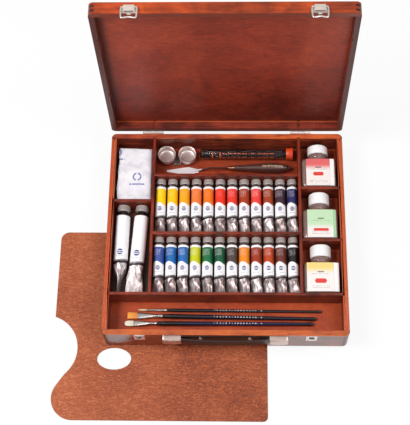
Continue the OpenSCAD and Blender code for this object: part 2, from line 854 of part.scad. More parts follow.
cloth_size = [59.4, 103, 31];
// Play of the folded cloth at its left side and its front
cloth_play = [3, 2];
cloth_corner_r = 3;

module cloth_pack() {
    x = -inner_x + cloth_play[0];
    y = large_divider_y + divider_t / 2 + cloth_play[1];
    color("white") translate([x, y, floor_z + loose_gap]) translate(cloth_size / 2)
        linear_extrude(cloth_size[2], center = true)
            rounded_plate(cloth_size[0], cloth_size[1], cloth_corner_r);
}

dipper_h = 17;
dipper_pitch = 36;
dipper_wall = 0.8;
dipper_x = -87;
dipper_y = inner_back_y - 18.8;

// Two flat-bottomed spun cups on a sprung steel clip that lies folded under them
module dippers() {
    clip_t = 0.8;
    clip_w = 12;
    clip_gap = 2.2;
    foot = clip_gap + clip_t;
    // How much narrower a cup is at its bottom, and the height of the bend above it
    foot_taper = 2;
    bend = 2;
    clip_end_y = -14.5;
    cup_l = dipper_h - foot;
    color("silver") translate([dipper_x, dipper_y, floor_z]) {
        for (x = [-1, 1]) translate([x * dipper_pitch / 2, 0, foot]) difference() {
            rotate_extrude() polygon([[0, 0], [dipper_r - foot_taper, 0], [dipper_r, bend],
                                      [dipper_r + dipper_wall, cup_l], [0, cup_l]]);
            rotate_extrude() polygon([[0, dipper_wall], [dipper_r - foot_taper, dipper_wall],
                                      [dipper_r - dipper_wall, bend + dipper_wall],
                                      [dipper_r, cup_l + cut], [0, cup_l + cut]]);
        }
        block([-dipper_pitch / 2, -clip_w / 2, clip_gap], [dipper_pitch / 2, clip_w / 2, foot]);
        block([-clip_w / 2, clip_end_y, clip_gap], [clip_w / 2, 0, foot]);
        block([-clip_w / 2, clip_end_y, 0], [clip_w / 2, clip_end_y + clip_t, foot]);
        block([-clip_w / 2, clip_end_y, 0], [clip_w / 2, clip_w / 2, clip_t]);
    }
}

knife_y = inner_back_y - 42;
knife_x0 = -105;
blade_t = 0.8;
blade_half_w = 7.8;
// Along the knife from its tip: the blade's widest place, its root, the crank, the ferrule, the handle, its end
blade_wide_l = 38;
blade_l = 56;
crank_l = 74;
shank_l = 107.6;
knife_ferrule_l = 11;
knife_l = 217.5;
shank_r = 1.5;
handle_nose_r = 4.2;
handle_belly_r = 9.2;
// Hole to hang the knife by, from the handle's end
knife_hole_in = 6.5;
knife_hole_r = 2;
knife_z = floor_z + handle_belly_r + loose_gap;

// A cranked painting knife: a diamond blade low on the floor, its shank rising to the handle
module knife_blade() {
    crank = [knife_x0 + crank_l, knife_y - 1, knife_z + 2];
    color("silver") {
        translate([knife_x0, knife_y - 2, floor_z + loose_gap]) linear_extrude(blade_t)
            polygon([[0, 1.5], [blade_wide_l, blade_half_w], [blade_l, 3],
                     [blade_l, -2.5], [blade_wide_l, -blade_half_w], [0, -1.5]]);
        hull() {
            translate([knife_x0 + blade_l - 6, knife_y - 2, floor_z + loose_gap + shank_r]) sphere(shank_r, $fn = 16);
            translate(crank) sphere(shank_r, $fn = 16);
        }
        hull() {
            translate(crank) sphere(shank_r, $fn = 16);
            translate([knife_x0 + shank_l - shank_r, knife_y, knife_z]) sphere(shank_r, $fn = 16);
        }
    }
}

module knife_ferrule() {
    nose_r = handle_nose_r * 0.65;
    color("gold") turned_x([knife_x0 + shank_l, knife_y, knife_z],
                           [[0, 0], [nose_r, 0], [handle_nose_r * 0.8, knife_ferrule_l / 2],
                            [handle_nose_r * 0.95, knife_ferrule_l - seam], [0, knife_ferrule_l - seam]]);
}

module knife_handle() {
    l = knife_l - shank_l - knife_ferrule_l;
    color("saddlebrown") difference() {
        turned_x([knife_x0 + knife_l - l, knife_y, knife_z],
                 [[0, 0], [handle_nose_r, 0], [handle_nose_r * 1.3, l * 0.2], [handle_belly_r, l * 0.64],
                  [handle_belly_r * 0.85, l * 0.84], [handle_belly_r * 0.3, l - 1], [0, l]]);
        translate([knife_x0 + knife_l - knife_hole_in, knife_y, floor_z])
            cylinder(h = 4 * handle_belly_r, r = knife_hole_r);
    }
}

charcoal_y = inner_back_y - 15.5;
// The cap's skirt and flange stand out from the tube by this much each
charcoal_skirt_out = 1;
charcoal_flange_out = 1.3;
charcoal_z = floor_z + charcoal_r + charcoal_skirt_out + charcoal_flange_out + loose_gap;
charcoal_x0 = -46;
charcoal_x1 = 104;
charcoal_wall = 1;
charcoal_plug_l = 4;
charcoal_cap_l = 11.5;
charcoal_flange_l = 3.8;
charcoal_end_play = 1;
charcoal_gap = 0.2;

module charcoal_tube() {
    l = charcoal_x1 - charcoal_x0 + charcoal_plug_l;
    color("lightgray") turned_x([charcoal_x0, charcoal_y, charcoal_z],
        [[0, 0], [charcoal_r, 0], [charcoal_r, l], [charcoal_r - charcoal_wall, l],
         [charcoal_r - charcoal_wall, charcoal_wall], [0, charcoal_wall]]);
}

module charcoal_sticks() {
    room_r = charcoal_r - charcoal_wall;
    stick_r = room_r * 0.31;
    ring_r = room_r - stick_r - loose_gap;
    room_l = charcoal_x1 - charcoal_x0 - charcoal_wall;
    color("black") for (a = [0:60:300])
        rod_x([charcoal_x0 + charcoal_wall + room_l / 2, charcoal_y + ring_r * cos(a), charcoal_z + ring_r * sin(a)],
              stick_r, room_l - 2 * charcoal_end_play);
}

// The cap's skirt slips over the tube's end, and its flange closes it
module charcoal_cap() {
    bore_r = charcoal_r + running_gap;
    skirt_r = charcoal_r + charcoal_skirt_out;
    flange_r = skirt_r + charcoal_flange_out;
    skirt_l = charcoal_cap_l - charcoal_flange_l;
    bore_l = charcoal_plug_l + 2 * charcoal_gap;
    color("orangered") turned_x([charcoal_x1, charcoal_y, charcoal_z],
        [[bore_r, 0], [skirt_r, 0], [skirt_r, skirt_l], [flange_r, skirt_l],
         [flange_r, charcoal_cap_l], [0, charcoal_cap_l], [0, bore_l], [bore_r, bore_l]]);
}

// ---------------------------------------------------------------- brushes

ferrule_r = 2;
tuft_t = 3.2;
// Each brush: its tip from the left and front walls, its turn off the X axis, its radius, its tuft's length
// and width (0 is a pointed round tuft), its ferrule's length, and its length
round_brush = [[45, 45.7], -0.3, 2.7, 15, 0, 34, brush_l];
flat_brush = [[29, 35.4], -0.8, 4, 16, 11, 42, brush_l + 7];
filbert_brush = [[25, 21.7], 0.1, 4, 14, 9.5, 39, brush_l + 6];

// A brush lying with its tuft to the left, from its tip: tuft, ferrule and handle
module brush(b) {
    r = b[2];
    tuft_l = b[3];
    tuft_w = b[4];
    ferrule_l = b[5];
    handle_end = b[6] - tuft_l - ferrule_l - seam;
    color("midnightblue") translate([-inner_x + b[0][0], inner_front_y + b[0][1], floor_z + r + loose_gap])
        rotate([0, 0, b[1]]) {
            if (tuft_w > 0) {
                translate([0, -tuft_w / 2, -tuft_t / 2]) cube([tuft_l, tuft_w, tuft_t]);
            } else {
                turned_x([0, 0, 0], [[0, 0], [ferrule_r * 0.3, ferrule_r * 0.3], [ferrule_r * 0.9, tuft_l * 0.7],
                                     [ferrule_r * 0.8, tuft_l], [0, tuft_l]]);
            }
            turned_x([tuft_l + seam, 0, 0],
                     [[0, 0], [ferrule_r, 0], [r * 0.8, ferrule_l - seam], [0, ferrule_l - seam]]);
            turned_x([tuft_l + ferrule_l + seam, 0, 0],
                     [[0, 0], [r * 0.8, 0], [r, handle_end * 0.1], [r * 0.72, handle_end * 0.44],
                      [r * 0.3, handle_end - r * 0.3], [0, handle_end]]);
        }
}

module brush_round() { brush(round_brush); }
module brush_flat() { brush(flat_brush); }
module brush_filbert() { brush(filbert_brush); }

// ---------------------------------------------------------------- every sub-part by name

tray_front();
tray_back();
tray_left();
tray_right();
tray_bottom();
column_dividers();
row_dividers();
side_dividers();
brush_divider();
tube_beds();
hinge_tray_leaves();
hinge_pins();
strikes();
handle_backing();
handle_end_caps();
handle_grip();
handle_link_left();
handle_link_right();
tray_screws();
lid_front();
lid_back();
lid_left();
lid_right();
lid_panel();
hinge_lid_leaves();
latch_plates();
latch_pins();
latch_lever_left();
latch_lever_right();
latch_loop_left();
latch_loop_right();
lid_screws();
palette();
cloth_pack();
dippers();
knife_blade();
knife_ferrule();
knife_handle();
charcoal_tube();
charcoal_sticks();
charcoal_cap();
brush_round();
brush_flat();
brush_filbert();
bottle_back();
bottle_middle();
bottle_front();
bottle_cap_back();
bottle_cap_middle();
bottle_cap_front();
large_tube_left();
large_tube_right();
tubes_yellow();
tubes_red();
tubes_violet();
tubes_blue();
tubes_green();
tubes_earth();
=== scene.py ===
"""Paint case on its palette, with tubes, bottles, brushes and tools. Measures are millimetres unless said."""
from math import asin, atan2, cos, hypot, pi, radians, sin

import bmesh
import bpy
import numpy as np
from mathutils import Euler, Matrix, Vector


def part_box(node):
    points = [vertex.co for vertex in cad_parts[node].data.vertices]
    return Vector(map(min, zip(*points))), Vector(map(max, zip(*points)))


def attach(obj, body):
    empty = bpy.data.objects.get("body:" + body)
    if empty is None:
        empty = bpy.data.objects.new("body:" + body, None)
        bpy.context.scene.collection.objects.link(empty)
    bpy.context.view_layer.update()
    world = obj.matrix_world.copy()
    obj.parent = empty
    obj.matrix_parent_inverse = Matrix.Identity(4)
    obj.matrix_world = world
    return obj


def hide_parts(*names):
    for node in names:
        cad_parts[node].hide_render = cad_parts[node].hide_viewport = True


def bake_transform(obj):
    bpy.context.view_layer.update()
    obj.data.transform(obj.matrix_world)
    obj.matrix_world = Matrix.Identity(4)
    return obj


MM = 0.001
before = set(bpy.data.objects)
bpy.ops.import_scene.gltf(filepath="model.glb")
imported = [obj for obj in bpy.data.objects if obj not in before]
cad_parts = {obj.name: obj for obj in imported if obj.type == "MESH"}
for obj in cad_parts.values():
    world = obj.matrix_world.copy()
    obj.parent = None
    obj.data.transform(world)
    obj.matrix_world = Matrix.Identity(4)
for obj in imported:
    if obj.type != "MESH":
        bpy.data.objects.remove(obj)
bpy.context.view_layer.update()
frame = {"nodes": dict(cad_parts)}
nodes = frame["nodes"]
scene = bpy.context.scene


def box(node):
    """Lowest and highest corner of a CAD node, in millimetres."""
    return [np.array(corner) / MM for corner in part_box(node)]


def centre(node):
    """Middle of a CAD node's box."""
    return sum(box(node)) / 2


# ---- places

FRONT_Y = box("tray_front")[0][1]
CASE_X, _, RIM_Z = box("tray_front")[1]
CASE_D = box("tray_back")[1][1] - FRONT_Y
FLOOR_Z = box("tray_bottom")[1][2]
LID_RIM_Y = box("lid_front")[0][1]
LID_LOW, LID_HIGH = (corner[2] for corner in box("lid_left"))
PIN_R = 1.3
HINGE_Y = box("hinge_pins")[0][1] + PIN_R
LATCH_X = centre("latch_loop_right")[0]
KNIFE_Y = centre("knife_handle")[1]
CLOTH_LOW, CLOTH_HIGH = box("cloth_pack")


def opened(points):
    """Turns points of the closed lid a quarter turn about the hinge line: height above it becomes depth."""
    x, y, z = np.moveaxis(np.asarray(points, float), -1, 0)
    return np.stack([x, HINGE_Y + (z - RIM_Z), RIM_Z - (y - HINGE_Y)], -1)


# ---- surfaces


def ring(half_w, half_h, power=2.0, turns=48):
    """Superellipses |x / half_w|^power + |z / half_h|^power = 1, a row for each value of half_w. A row starts
    at -x and goes over the top. Gives x and z."""
    half_w, half_h, power = (np.atleast_1d(np.asarray(v, float))[:, None] for v in (half_w, half_h, power))
    turn = np.pi * (1 - 2 * np.linspace(0, 1, turns + 1))
    c, s = np.cos(turn), np.sin(turn)
    return half_w * np.sign(c) * np.abs(c) ** (2 / power), half_h * np.sign(s) * np.abs(s) ** (2 / power)


def through(stations, count):
    """A smooth curve of count points: Catmull-Rom, each span a cubic of its four nearest stations."""
    p = np.asarray(stations, float)
    p = np.concatenate([2 * p[:1] - p[1:2], p, 2 * p[-1:] - p[-2:-1]])
    t = np.linspace(0, len(p) - 3, count)
    i = np.minimum(t.astype(int), len(p) - 4)
    t = (t - i)[:, None]
    a, b, c, d = p[i], p[i + 1], p[i + 2], p[i + 3]
    return 0.5 * (2 * b + (c - a) * t + (2 * a - 5 * b + 4 * c - d) * t**2 + (3 * b - a - 3 * c + d) * t**3)


def smooth(t):
    """Rises from 0 to 1 with level ends: 3 t^2 - 2 t^3."""
    t = np.clip(t, 0, 1)
    return t * t * (3 - 2 * t)


def turned(stations, turns=48):
    """A profile of (distance along, radius) stations turned about its axis. Gives along, across and up."""
    s, r = np.asarray(stations, float).T
    x, z = ring(r, r, 2, turns)
    return np.broadcast_to(s[:, None], x.shape), x, z


def ribs(turns, count, depth):
    """How far a ribbed wall stands in, as a share of its radius: depth times a raised cosine of count
    waves."""
    return depth * (0.5 + 0.5 * np.cos(count * np.linspace(0, 2 * np.pi, turns + 1)[None, :]))


def pipe(path, radius, up, turns=12, flat=1.0):
    """A round section carried along a path of points: centre + radius (side cos + normal sin). The side is
    tangent x up, and flat squeezes the section along its normal."""
    path = np.asarray(path, float)
    tangent = np.gradient(path, axis=0)
    tangent /= np.linalg.norm(tangent, axis=1, keepdims=True)
    side = np.cross(tangent, up)
    side /= np.linalg.norm(side, axis=1, keepdims=True)
    normal = np.cross(side, tangent)
    turn = 2 * np.pi * np.linspace(0, 1, turns + 1)[None, :, None]
    return path[:, None] + radius * (side[:, None] * np.cos(turn) + flat * normal[:, None] * np.sin(turn))


def pole(row):
    """A row of a grid drawn together to the point at its middle."""
    return row.mean(1, keepdims=True) + 0 * row


def lid_on(tube):
    """Closes both ends of a grid of rows by a pole."""
    return np.concatenate([pole(tube[:1]), tube, pole(tube[-1:])])


def dress(obj, body, finish, replaced=()):
    """Puts a finish on a piece, lets it ride on its body and stand for CAD nodes."""
    obj.data.materials.clear()
    obj.data.materials.append(finish)
    if body:
        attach(obj, body)
    if replaced:
        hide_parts(*replaced)
    return obj


def linked(name, data):
    """A new object in the scene."""
    obj = bpy.data.objects.new(name, data)
    scene.collection.objects.link(obj)
    return obj


def piece_of(name, mesh, angle):
    """A new object with that mesh, shaded smooth except across edges sharper than angle."""
    mesh.polygons.foreach_set("use_smooth", np.ones(len(mesh.polygons), bool))
    mesh.set_sharp_from_angle(angle=radians(angle))
    return linked(name, mesh)


def reworked(mesh, work):
    """Merges a mesh's points that meet, then does that work on it."""
    shape = bmesh.new()
    shape.from_mesh(mesh)
    bmesh.ops.remove_doubles(shape, verts=shape.verts, dist=0.002 * MM)
    work(shape)
    shape.to_mesh(mesh)
    shape.free()


def skin(name, patches, body, finish, replaced=(), angle=35, weld=True):
    """One mesh from grids of points, each (rows, columns, 3), with UV from 0 to 1 across and along it, or
    the V of each row where it comes with them. Points that meet are merged, which closes seams and poles."""
    points, uvs, faces, first = [], [], [], 0
    for patch in patches:
        patch, along = patch if isinstance(patch, tuple) else (patch, np.linspace(0, 1, len(patch)))
        rows, columns = patch.shape[:2]
        n = first + np.arange(rows * columns).reshape(rows, columns)
        faces.append(np.stack([n[:-1, :-1], n[:-1, 1:], n[1:, 1:], n[1:, :-1]], -1).reshape(-1, 4))
        points.append(patch.reshape(-1, 3))
        v, u = np.meshgrid(along, np.linspace(0, 1, columns), indexing="ij")
        uvs.append(np.stack([u, v], -1).reshape(-1, 2))
        first += rows * columns
    points, uvs, faces = (np.concatenate(part) for part in (points, uvs, faces))
    mesh = bpy.data.meshes.new(name)
    mesh.vertices.add(len(points))
    mesh.vertices.foreach_set("co", (points * MM).ravel())
    mesh.loops.add(faces.size)
    mesh.loops.foreach_set("vertex_index", faces.ravel())
    mesh.polygons.add(len(faces))
    mesh.polygons.foreach_set("loop_start", np.arange(0, faces.size, 4))
    mesh.uv_layers.new(name="UVMap").data.foreach_set("uv", uvs[faces.ravel()].ravel())
    mesh.update(calc_edges=True)
    if weld:
        reworked(mesh, lambda shape: bmesh.ops.recalc_face_normals(shape, faces=shape.faces))
    return dress(piece_of(name, mesh, angle), body, finish, replaced)


def eased(name, node, body, finish, edge=0.4, segments=2):
    """A CAD node's solids with their flat faces joined and their edges eased by a bevel of that width."""
    mesh = nodes[node].data.copy()
    mesh.name = name
    reworked(mesh, lambda shape: bmesh.ops.dissolve_limit(
        shape, angle_limit=radians(1), verts=shape.verts, edges=shape.edges))
    obj = piece_of(name, mesh, 35)
    if edge:
        bevel = obj.modifiers.new("eased edges", "BEVEL")
        bevel.width = edge * MM
        bevel.segments = segments
        bevel.limit_method = "ANGLE"
        bevel.angle_limit = radians(40)
    return dress(obj, body, finish, (node,))


# ---- finishes


def rgb(red, green, blue):
    """Linear colour from one as it is seen, 0 to 255."""
    c = np.array([red, green, blue]) / 255
    return (*np.where(c <= 0.04045, c / 12.92, ((c + 0.055) / 1.055) ** 2.4), 1)


def tones(*colours):
    """Several such colours."""
    return [rgb(*colour) for colour in colours]


def shaded(colour, share):
    """That share of a colour's light."""
    return (*(min(1, share * c) for c in colour[:3]), 1)


def operator(operation, swapped=False):
    """A method of Wire that adds a Math node, for an operator or for its reflected form."""

    def method(self, *others):
        values = (*others, self) if swapped else (self, *others)
        return self.nodes.node("Math", {"operation": operation}, dict(enumerate(values)))

    return method


class Wire:
    """What a shader node gives, which adds, multiplies and compares like a number."""

    def __init__(self, nodes, socket):
        self.nodes, self.socket = nodes, socket

    __add__, __radd__ = operator("ADD"), operator("ADD", True)
    __sub__, __rsub__ = operator("SUBTRACT"), operator("SUBTRACT", True)
    __mul__, __rmul__ = operator("MULTIPLY"), operator("MULTIPLY", True)
    __truediv__, __rtruediv__ = operator("DIVIDE"), operator("DIVIDE", True)
    __gt__, __lt__ = operator("GREATER_THAN"), operator("LESS_THAN")
    __abs__, sin = operator("ABSOLUTE"), operator("SINE")
    least, most = operator("MINIMUM"), operator("MAXIMUM")

    def within(self, low, high):
        """1 between low and high, 0 beyond them."""
        return (self > low) * (self < high)

    def ease(self, low, high, to_low=0.0, to_high=1.0):
        """Rises smoothly from to_low to to_high as this goes from low to high."""
        return self.nodes.node("MapRange", {"interpolation_type": "SMOOTHSTEP"},
                               {0: self, 1: low, 2: high, 3: to_low, 4: to_high})


class Nodes:
    """The nodes of a material or of the world."""

    def __init__(self, tree):
        self.tree = tree

    def node(self, kind, settings, inputs, output=0):
        """A new node from its settings, stops among them, and values or wires by socket. Gives its output."""
        node = self.tree.nodes.new("ShaderNode" + kind)
        for key, value in settings.items():
            if key == "stops":
                ramp = node.color_ramp
                while len(ramp.elements) < len(value):
                    ramp.elements.new(0.5)
                for element, (position, colour) in zip(ramp.elements, value):
                    element.position, element.color = position, colour
            elif key == "steps":
                node.color_ramp.interpolation = value
            else:
                setattr(node, key, value)
        for key, value in inputs.items():
            if isinstance(value, Wire):
                self.tree.links.new(value.socket, node.inputs[key])
            else:
                node.inputs[key].default_value = value
        return Wire(self, node.outputs[output])

    def ray(self, kind):
        """1 for light rays of that kind."""
        return self.node("LightPath", {}, {}, f"Is {kind} Ray")


class Finish(Nodes):
    """A material built from expressions on its wires."""

    def __init__(self, name, **constants):
        self.material = bpy.data.materials.new(name)
        self.material.use_nodes = True
        super().__init__(self.material.node_tree)
        self.shader = self.tree.nodes["Principled BSDF"]
        for socket, value in constants.items():
            self.shader.inputs[socket.replace("_", " ")].default_value = value

    def made(self, colour, roughness=None, relief=None, depth=0.05, strength=0.3, **wires):
        """Leads wires to the shader's sockets, over a relief of depth millimetres. Gives the material."""
        wires["Base_Color"] = colour
        if roughness:
            wires["Roughness"] = roughness
        if relief:
            bump = {"Strength": strength, "Distance": depth * MM, "Height": relief}
            wires["Normal"] = self.node("Bump", {}, bump)
        for socket, wire in wires.items():
            self.tree.links.new(wire.socket, self.shader.inputs[socket.replace("_", " ")])
        return self.material

    def place(self, x=1.0, y=1.0, z=1.0):
        """The place on the object, in millimetres, squeezed to those shares along its axes."""
        spot = self.node("TexCoord", {}, {}, "Object")
        return self.node("VectorMath", {"operation": "MULTIPLY"}, {0: spot, 1: (x / MM, y / MM, z / MM)})

    def axis(self, name):
        """The place along one axis, in millimetres."""
        return self.node("SeparateXYZ", {}, {0: self.place()}, name)

    def uv(self, name):
        """The place across (X) or along (Y) a surface, as its UV has it."""
        return self.node("SeparateXYZ", {}, {0: self.node("TexCoord", {}, {}, "UV")}, name)

    def noise(self, scale, detail=2.0, roughness=0.5, distortion=0.0, squeeze=(1, 1, 1)):
        """Noise from 0 to 1, scale spots in each millimetre, the place squeezed along its axes first."""
        return self.node("TexNoise", {}, {"Vector": self.place(*squeeze), "Scale": scale, "Detail": detail,
                                          "Roughness": roughness, "Distortion": distortion})

    def dashes(self, scale, share, detail=1.0):
        """1 on dashes along X of uneven length, fewer of them as share rises."""
        return self.noise(scale, detail, squeeze=(1, MM, MM)) > share

    def ramp(self, wire, stops, steps="LINEAR"):
        """Colours at stops of (place from 0 to 1, colour)."""
        return self.node("ValToRGB", {"stops": list(stops), "steps": steps}, {0: wire})

    def between(self, wire, low, high):
        """Colour low until 0.3, high from 0.7."""
        return self.ramp(wire, [(0.3, low), (0.7, high)])

    def mix(self, factor, a, b):
        """Colour a where factor is 0, b where it is 1."""
        return self.node("Mix", {"data_type": "RGBA"}, {0: factor, 6: a, 7: b}, 2)


def wood(name, along, shades, crown=None, roughness=0.42, figure=1.0, coat=0.4, ends=None, groove=None,
         lit_edge_y=None):
    """Stained and varnished wood, its grain along axis 0, 1 or 2: slow bands, fine fibres, short dark pores
    and blotches of stain. crown is (axis, place, way, amount): past that place the tone rises by amount, a
    painted highlight where amount is above 0 and painted shade below 0. ends is (middle, half length) of the
    boards, whose end grain is darker. groove is (distance from the middle, half width, low, high) of a groove
    given painted light over its shade, and the last argument the place along Y past which an edge gets a
    painted highlight."""
    f = Finish(name, Coat_Weight=coat, Coat_Roughness=0.22, Specular_IOR_Level=0.25)
    slow, fine = ([share if i == along else 1.0 for i in range(3)] for share in (0.11, 0.045))
    bands = f.noise(0.075, 3, 0.55, 1.4, slow)
    fibres = f.noise(0.8, 4, 0.65, 0.3, fine)
    pores = f.noise(2.2, 2, squeeze=fine).ease(0.56, 0.7)
    stain = f.noise(0.022, 4, 0.6, 0.5)
    tone = (bands - 0.5) * (0.8 * figure) + (fibres - 0.5) * (0.7 * figure) + (stain - 0.5) * 1.1 + 0.42
    # Painted light: past that place the tone rises by amount, a painted highlight above 0 and painted shade
    # below 0.
    if crown:
        axis, spot, way, amount = crown
        tone = tone * 0.8 + f.axis(axis).ease(spot - 0.4 * way, spot + 0.2 * way) * amount
    colour = f.mix(pores * 0.45, f.ramp(tone, zip((0.15, 0.5, 0.85), shades)), shades[0])
    if ends:
        middle, half = ends
        end = abs(f.axis("XYZ"[along]) - middle).ease(half - 2.4, half - 1.2)
        colour = f.mix(end * 0.9, colour, rgb(46, 20, 18))
    if groove:
        middle, half, low, high = groove
        # Painted light over the groove's shade: its faces turn light orange.
        groove_lit = (abs(abs(f.axis("X")) - middle) < half) * f.axis("Z").within(low, high)
        colour = f.mix(groove_lit, colour, rgb(240, 146, 92))
    # Painted highlight: an orange line along the edge past that place on Y.
    if lit_edge_y:
        colour = f.mix((f.axis("Y") > lit_edge_y) * 0.35, colour, rgb(236, 112, 52))
    return f.made(colour, roughness + (fibres - 0.5) * 0.25, fibres - pores * 0.8, 0.12, 0.5)


def plywood(name, shades, fade, corner=None):
    """Stained plywood without a clear grain: fine and middling specks over faint clouds. fade is (axis, low,
    high, at low, at high), a change of tone. corner is the place along X of a wall beside which a painted
    shadow lies, and then painted shade also darkens the tone from left to right."""
    f = Finish(name, Coat_Weight=0.2, Coat_Roughness=0.32, Specular_IOR_Level=0.25)
    specks = f.noise(0.2, 4, 0.72, 0.5, (0.36, 1, 1))
    fine = f.noise(0.9, 2, 0.6, squeeze=(0.5, 1, 1))
    clouds = f.noise(0.012, 3, 0.5, 0.6)
    axis, low, high, at_low, at_high = fade
    tone = (clouds - 0.5) * 0.6 + (specks - 0.5) * 0.65 + (fine - 0.5) * 0.45 + 0.5
    tone = tone + f.axis(axis).ease(low, high, at_low, at_high)
    # Painted shade: the tone falls from left to right.
    if corner:
        tone = tone + f.axis("X").ease(-160, 160, 0.02, -0.09)
    colour = f.ramp(tone, zip((0.15, 0.5, 0.85), shades))
    # Painted shadow along the wall at that place on X.
    if corner:
        colour = f.mix((f.axis("X") - corner).ease(1, 15, 0.8, 0), colour, rgb(44, 18, 16))
    return f.made(colour, 0.42 + (specks - 0.5) * 0.3, specks + fine * 0.5, 0.15, 0.5)


def metal(name, colour, roughness, grain=0.0, metallic=1.0):
    """Bright metal with faint handling marks, and brushed lines along X where grain is set."""
    f = Finish(name, Metallic=metallic)
    cloud = f.noise(0.03, 3, 0.6)
    lines = f.noise(4, squeeze=(0.04, 1, 1))
    tone = f.between(cloud, shaded(colour, 0.82), colour)
    return f.made(tone, roughness + (cloud - 0.5) * 0.2 + (lines - 0.5) * grain,
                  lines * grain + cloud * 0.3, 0.05, 0.4)


BLADE_L = 58


def knife_steel():
    """Ground steel: a pale blade, and a browned shank beyond its root."""
    f = Finish("knife steel")
    lines = f.noise(3, squeeze=(1, 0.06, 1))
    root = box("knife_blade")[0][0] + BLADE_L
    shank = f.axis("X").ease(root, root + 6)
    blade = f.between(lines, rgb(222, 214, 218), rgb(244, 238, 242))
    return f.made(f.mix(shank, blade, rgb(96, 66, 60)), 0.4 + lines * 0.1, lines, Metallic=0.45 + shank * 0.5)


def strike_plate():
    """Nickel, its hooked lip darkened by painted shade."""
    f = Finish("strike nickel", Metallic=0.7)
    cloud = f.noise(0.3, 3, 0.6)
    # Painted shade: the lip that stands out at the front is darkened.
    lip = f.axis("Y") < FRONT_Y - 1.5
    plate = f.between(cloud, rgb(214, 200, 196), rgb(246, 236, 232))
    colour = f.mix(lip * 0.9, plate, rgb(36, 28, 28))
    return f.made(colour, 0.3 + cloud * 0.1, cloud)


RIM_WOOD = tones((66, 22, 13), (142, 52, 22), (206, 100, 38))
SIDE_WOOD = tones((66, 26, 18), (124, 49, 32), (184, 84, 48))
BACK_WOOD = tones((84, 36, 28), (156, 64, 40), (220, 104, 48))
DIVIDER_WOOD = tones((70, 24, 14), (134, 48, 26), (168, 70, 34))
BED_WOOD = tones((50, 24, 13), (84, 42, 24), (110, 60, 34))
FLOOR_PLY = tones((110, 36, 18), (168, 66, 32), (198, 88, 44))
LID_WOOD = tones((118, 42, 16), (196, 76, 26), (222, 100, 36))
LID_SIDE_WOOD = tones((76, 28, 20), (138, 52, 34), (182, 78, 46))
LID_BACK_WOOD = tones((76, 28, 22), (142, 54, 37), (186, 80, 48))
LID_PLY = tones((78, 22, 14), (146, 51, 30), (194, 81, 46))
WIDE, DEEP = (0, CASE_X), (0, CASE_D / 2)
UPRIGHT = ((LID_LOW + LID_HIGH) / 2, (LID_HIGH - LID_LOW) / 2)
# Painted highlight on the tray's rim tops, painted shade on the open lid's front-facing rim faces.
RIM_TOP_HIGHLIGHT, LID_RIM_SHADE = ("Z", RIM_Z - 0.7, 1), ("Y", LID_RIM_Y + 0.7, -1)
# Painted light in the side boards' groove, against its shade.
GROOVE_LIGHT = (CASE_X - 4.5, 1.7, RIM_Z - 4.5, RIM_Z - 0.3)
tray_x = wood("tray wood across", 0, RIM_WOOD, (*RIM_TOP_HIGHLIGHT, 0.36), coat=0.85, ends=WIDE)
# The side boards' top 4 mm, groove walls too, get a painted highlight.
tray_y = wood("tray wood deep", 1, SIDE_WOOD, ("Z", RIM_Z - 4, 1, 0.56), ends=DEEP, groove=GROOVE_LIGHT)
tray_back_wood = wood("tray back wood", 0, BACK_WOOD, (*RIM_TOP_HIGHLIGHT, 0.3), figure=1.7, ends=WIDE)
lid_x = wood("lid wood across", 0, LID_WOOD, (*LID_RIM_SHADE, -0.34), figure=0.7, coat=0.5, ends=WIDE)
# The lid's back board gets a painted highlight along its edge by the panel.
lid_back_wood = wood("lid back wood", 0, LID_BACK_WOOD, (*LID_RIM_SHADE, -0.2), coat=0.5, ends=WIDE,
                     lit_edge_y=box("lid_panel")[0][1] - 2.4)
lid_z = wood("lid wood upright", 2, LID_SIDE_WOOD, (*LID_RIM_SHADE, -0.3), ends=UPRIGHT)
divider_x = wood("divider wood across", 0, DIVIDER_WOOD)
divider_y = wood("divider wood deep", 1, DIVIDER_WOOD)
bed_wood = wood("bed board", 0, BED_WOOD, roughness=0.6)
floor_ply = plywood("floor plywood", FLOOR_PLY, ("Y", 96, 122, 0, -0.14))
# Painted shade: the fade darkens the lower part of the open lid's panel, and the corner adds a painted shadow
# by the left wall.
lid_ply = plywood("lid plywood", LID_PLY, ("Z", RIM_Z + 10, RIM_Z + CASE_D - 60, -0.2, 0.08),
                  box("lid_left")[1][0])
nickel = metal("nickel plate", rgb(240, 230, 226), 0.26, metallic=0.72)
cap_steel = metal("handle cap steel", rgb(216, 192, 184), 0.3, metallic=0.85)
lever_nickel = metal("satin nickel", rgb(238, 226, 212), 0.4, metallic=0.6)
pin_steel = metal("pin steel", rgb(150, 148, 146), 0.35)
spun_steel = metal("spun steel", rgb(226, 210, 206), 0.34, 0.15, 0.8)
# Painted shade: the clip's steel is a darker copy of the cups', for the shade under them.
shaded_clip_steel = metal("shaded clip steel", rgb(120, 106, 102), 0.4)
ferrule_copper = metal("ferrule copper", rgb(206, 150, 120), 0.3)
ferrule_nickel = metal("brush ferrule", rgb(212, 204, 200), 0.24)


def handle_wood():
    """The knife's handle: dark stained beech under lacquer, a plain row of cream dashes along its top."""
    f = Finish("knife handle wood", Coat_Weight=0.8, Coat_Roughness=0.15)
    grain = f.noise(0.9, 3, 0.6, squeeze=(0.06, 1, 1))
    colour = f.between(grain, rgb(56, 30, 26), rgb(100, 58, 50))
    dash = f.dashes(0.9, 0.48) * f.axis("X").within(62, 98)
    dash = dash * (abs(f.axis("Y") - KNIFE_Y) < 1.3) * (f.axis("Z") > FLOOR_Z + 12)
    return f.made(f.mix(dash * 0.85, colour, rgb(214, 186, 146)), 0.3 + grain * 0.15, grain, 0.08)


